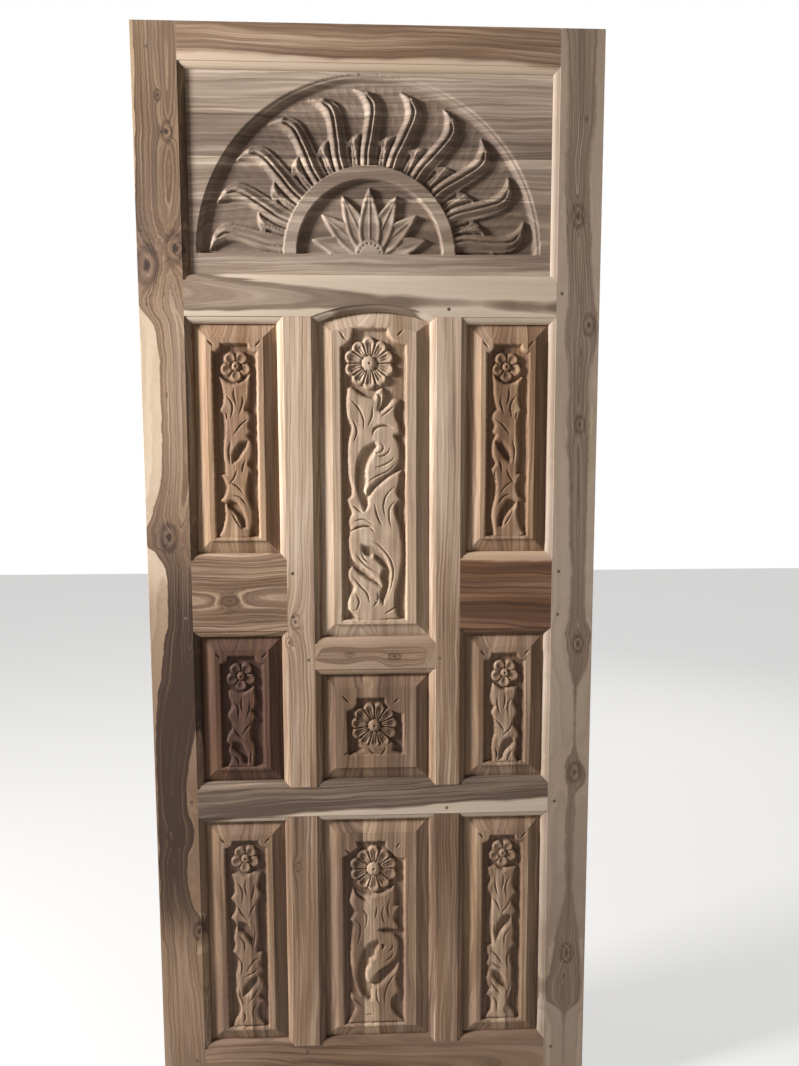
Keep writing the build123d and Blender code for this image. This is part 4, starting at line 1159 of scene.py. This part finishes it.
# Below about 1100 mm the left stile is darker, and below 1000 mm its sapwood is dimmer too: partly its
# own dark heartwood, partly a painted cast shadow.
dress(boards, "left_stile", True, pith=(-345, 25), lean=(0.006, -0.016), ring=7, start=1150,
      tone=[(2057, 0.4), (1700, 0.4), (1500, 0.5), (1180, 0.4), (1090, 0.24), (960, 0.05),
            (560, 0.03), (430, 0.16), (340, 0.4), (0, 0.4)],
      lines=0.18, streaks=0.2, broad=0.14, seed=1.3, wander=10, heart=LEFT_HEART, colors=SHADED,
      pale=[(2057, 0.62), (1560, 0.9), (1100, 0.88), (1000, 0.62), (0, 0.56)],
      knots=[(1642, -402, 24), (1672, -352, 20), (1872, -360, 12), (1933, -374, 7), (1413, -375, 3),
             (1152, -378, 18), (895, -338, 14), (575, -385, 17), (377, -344, 13), (639, -350, 3)])
dress(boards, "right_stile", True, pith=(376, 36), lean=(-0.012, 0.0), ring=7, start=1000,
      tone=[(2057, 0.4), (1500, 0.4), (1000, 0.34), (500, 0.32), (0, 0.36)], lines=0.2,
      streaks=0.32, broad=0.16, seed=4.1, colors=GREY, wander=8, heart=RIGHT_HEART, soft=5.0,
      pale=[(2057, 0.58), (1600, 0.66), (1000, 0.66), (500, 0.56), (0, 0.54)],
      knots=[(1735, 376, 15), (1541, 400, 14), (1359, 387, 12), (1241, 372, 4), (1903, 387, 4),
             (941, 392, 13), (685, 391, 15), (310, 382, 15)])
print("wood for the stiles")

# %% [markdown]
# The rails lie across, so their grain runs from side to side. Where a rail has sapwood, it starts
# at a given ring: a distance from the pith, the width of the change and how far it strays.

# %% Wood for the rails, the muntins and the pins
dress(boards, "top_rail", False, pith=(2100, 26), lean=(-0.03, 0.01), ring=9, tone=0.4, lines=0.22,
      streaks=0.24, sap=(103, 6, 14), seed=2.2)
dress(boards, "frieze_rail", False, pith=(1578, 34.7), lean=(-0.033, 0), bow=-0.000043, ring=5,
      start=150, tone=0.44, lines=0.26, streaks=0.24, sap=(49.5, 1.6, 4), seed=3.7, colors=GREY,
      wander=9)
dress(boards, "left_lock_rail", False, pith=(1036, 8), lean=(0.05, 0.0), ring=6, start=-240,
      tone=0.4, lines=0.26, streaks=0.34, knots=[(-270, 1031, 11)], seed=5.9, wander=22)
dress(boards, "right_lock_rail", False, pith=(940, 44), lean=(0.0, 0.05), ring=9, start=240,
      tone=0.42, lines=0.22, sap=(164, 5, 14), seed=6.4, colors=RED, wander=10)
dress(boards, "center_cross_rail", False, pith=(930, 30), tone=0.36, lines=0.2, pale=0.58,
      heart=[(-100, 912, 936), (-60, 908, 940), (0, 913, 938), (38, 900, 941), (100, 914, 936)],
      streaks=0.2, wander=6, knots=[(40, 921, 9), (-46, 926, 6)], seed=7.2)
dress(boards, "lower_rail", False, pith=(700, 30), lean=(0.05, 0.0), ring=9, tone=0.16, lines=0.24,
      streaks=0.26, sap=(86, 5, 14), seed=8.8, colors=GREY)
dress(boards, "bottom_rail", False, pith=(60, 60), lean=(0.04, 0.06), ring=10, tone=0.25, lines=0.2,
      knots=[(-160, 96, 4)], seed=9.5)
for node, pith_x, tone, seed, knots in (
        ("upper_left_muntin", -210, [(1500, 0.78), (1150, 0.7), (1000, 0.56), (740, 0.48)], 10.1,
         [(990, -148, 11), (950, -160, 8)]),
        ("upper_right_muntin", 205, [(1500, 0.7), (1150, 0.64), (960, 0.44), (740, 0.4)], 11.6, ()),
        ("lower_left_muntin", -190, [(700, 0.34), (300, 0.36), (50, 0.32)], 12.4, [(505, -150, 7)]),
        ("lower_right_muntin", 190, [(700, 0.25), (300, 0.29), (50, 0.29)], 13.9, ())):
    dress(boards, node, True, pith=(pith_x, 25), lean=(0.01, 0.0), ring=6, tone=tone, streaks=0.3,
          seed=seed, wander=8, knots=knots)
wear(pins, wood("teak.pins", True, pith=(0, 300), ring=5, tone=0.1, lines=0.1, seed=15.2, colors=GREY))
print("wood for", len(boards) + 1, "frame pieces")

# %% [markdown]
# The panels are glued up from narrow staves, and the carving runs straight over the joints. Each
# stave is given by its edge and by how much lighter it is than the one before.

# %% Wood for the panels
dress(panels, "sun_panel", False, pith=(1760, 46), lean=(0.01, 0.0), ring=9, tone=0.56, lines=0.14,
      streaks=0.2, seed=20.5, colors=GREY, wander=14,
      staves=[(1649, -0.1), (1760, 0.22), (1766, -0.2), (1820, 0.25), (1835, -0.34), (1908, 0.24),
              (1968, 0.16)])
for node, pith, lean, ring, tone, colors, seed, start, staves in (
        ("upper_left", (-262, 30), (0.01, 0.02), 7, 0.48, WARM, 21.7, 1300,
         [(-292, 0.08), (-252, -0.14), (-222, 0.1)]),
        ("upper_right", (246, 30), (-0.01, 0.02), 7, 0.48, WARM, 22.3, 1300,
         [(222, -0.1), (262, 0.1), (288, -0.06)]),
        ("upper_center", (20, 40), (0.01, -0.01), 8, 0.76, TAN, 23.8, 1200,
         [(-26, 0.05), (8, -0.07), (39, -0.05), (66, 0.06)]),
        # The middle-left panel is partly its own dark red-brown wood and partly a painted cast shadow.
        ("middle_left", (-250, 30), (0, 0), 7, 0.2, RED, 24.4, 800, [(-276, -0.06), (-236, 0.1)]),
        ("middle_right", (250, 30), (0, 0), 7, 0.38, TAN, 25.9, 800, [(226, 0.06), (270, -0.08)]),
        ("middle_center", (30, 34), (0, 0), 8, 0.22, TAN, 26.2, 780,
         [(-21, 0.26), (-1, -0.24), (52, 0.06)]),
        ("lower_left", (-250, 34), (0, 0), 8, 0.28, TAN, 27.6, 360,
         [(-282, 0.08), (-244, -0.1), (-214, 0.08)]),
        ("lower_right", (252, 34), (0, 0), 8, 0.44, TAN, 28.1, 360, [(232, 0.08), (262, -0.1)]),
        ("lower_center", (-30, 34), (0, 0), 8, 0.4, TAN, 29.3, 360,
         [(-22, 0.22), (8, -0.2), (44, 0.05)])):
    dress(panels, node + "_panel", True, pith=pith, lean=lean, ring=ring, tone=tone, colors=colors,
          seed=seed, start=start, staves=staves)
print("wood for", len(panels), "panels")

# %% [markdown]
# ## Floor, light and camera
# The floor is plain and pale, and partly glows towards the camera, so that it nearly vanishes.

# %% Floor
bpy.ops.object.select_all(action="DESELECT")
bpy.ops.mesh.primitive_plane_add(size=14, location=(0, 0, 0))
floor = bpy.context.object
floor.name = "floor"
f = Finish(bpy.data.materials.new("pale_floor"))
speckle = f.noise(*[part * 3 for part in f.parts(f.node("TexCoord", output=3))])
laid = f.node("BsdfPrincipled", values={
    "Base Color": (0.6, 0.59, 0.57, 1), "Roughness": 0.7 + speckle * 0.1})
glow = f.node("Emission", values={"Color": (1, 1, 1, 1), "Strength": 1.0})
f.node("OutputMaterial", values={"Surface": f.node(
    "MixShader", values={0: f.node("LightPath") * 0.6, 1: laid, 2: glow})})
wear(floor, f.owner)
print("floor laid")

# %% [markdown]
# The light comes from the left and rakes across the carving: the left flank of every leaf is
# bright and the right margin of every panel is dark. One small strong lamp stands there. A dim
# warm world fills the shadows, a weak lamp lights the back, and the camera and reflections see
# the world as white.

# %% Light
KEY_POWER, BACK_POWER, WORLD_STRENGTH = 294, 46, 0.072


def soft_lamp(name, place, aim, size, power, color):
    bpy.ops.object.light_add(type="AREA", location=place)
    lamp = bpy.context.object
    lamp.name = name
    lamp.rotation_euler = (Vector(aim) - Vector(place)).to_track_quat("-Z", "Y").to_euler()
    lamp.data.shape, lamp.data.size = "SQUARE", size
    lamp.data.energy, lamp.data.color = power, color
    return lamp


key = soft_lamp("window_left", (-3.0, -0.96, 2.3), (0.0, 0.0, 1.15), 0.5, KEY_POWER,
                (0.99, 0.99, 1.0))
soft_lamp("room_behind", (1.6, 2.6, 2.2), (0.0, 0.0, 0.9), 1.2, BACK_POWER, (1.0, 0.99, 0.97))
world = bpy.data.worlds.new("room")
bpy.context.scene.world = world
w = Finish(world)
path = w.node("LightPath").socket.node
seen = [Flow(w, path.outputs[n]) for n in ("Is Camera Ray", "Is Glossy Ray", "Is Transmission Ray")]
shown = seen[0].sum("MAXIMUM", seen[1]).sum("MAXIMUM", seen[2])
room = w.node("Background", values={"Color": (1.0, 0.74, 0.52, 1), "Strength": WORLD_STRENGTH})
white = w.node("Background", values={"Color": (1, 1, 1, 1), "Strength": 1.0})
w.node("OutputWorld", values={"Surface": w.node("MixShader", values={0: shown, 1: room, 2: white})})
bpy.context.scene.view_settings.view_transform = "Standard"
print("key light of", key.data.energy, "W")

# %% [markdown]
# The camera stands where the photographer stood. Its place and its turn were solved from the
# door's straight edges: right and up are the directions that the picture's sides have there.

# %% Camera
PLACE, SENSOR, FOCAL, PICTURE = (-0.0186, -1.5636, 1.3235), 36.0, 830, 799
right, up = Vector((0.9990, -0.0442, -0.0020)), Vector((0.0067, 0.1065, 0.9943))
back = right.cross(up).normalized()
up = back.cross(right).normalized()
bpy.ops.object.camera_add()
camera = bpy.context.object
camera.name = "camera"
turn = Matrix((right, up, back)).transposed().to_4x4()
camera.matrix_world = Matrix.Translation(PLACE) @ turn
camera.data.sensor_fit, camera.data.sensor_width = "HORIZONTAL", SENSOR
camera.data.lens = SENSOR * FOCAL / PICTURE
camera.data.clip_start = 0.05
bpy.context.scene.camera = camera
print("camera lens", round(camera.data.lens, 1), "mm")
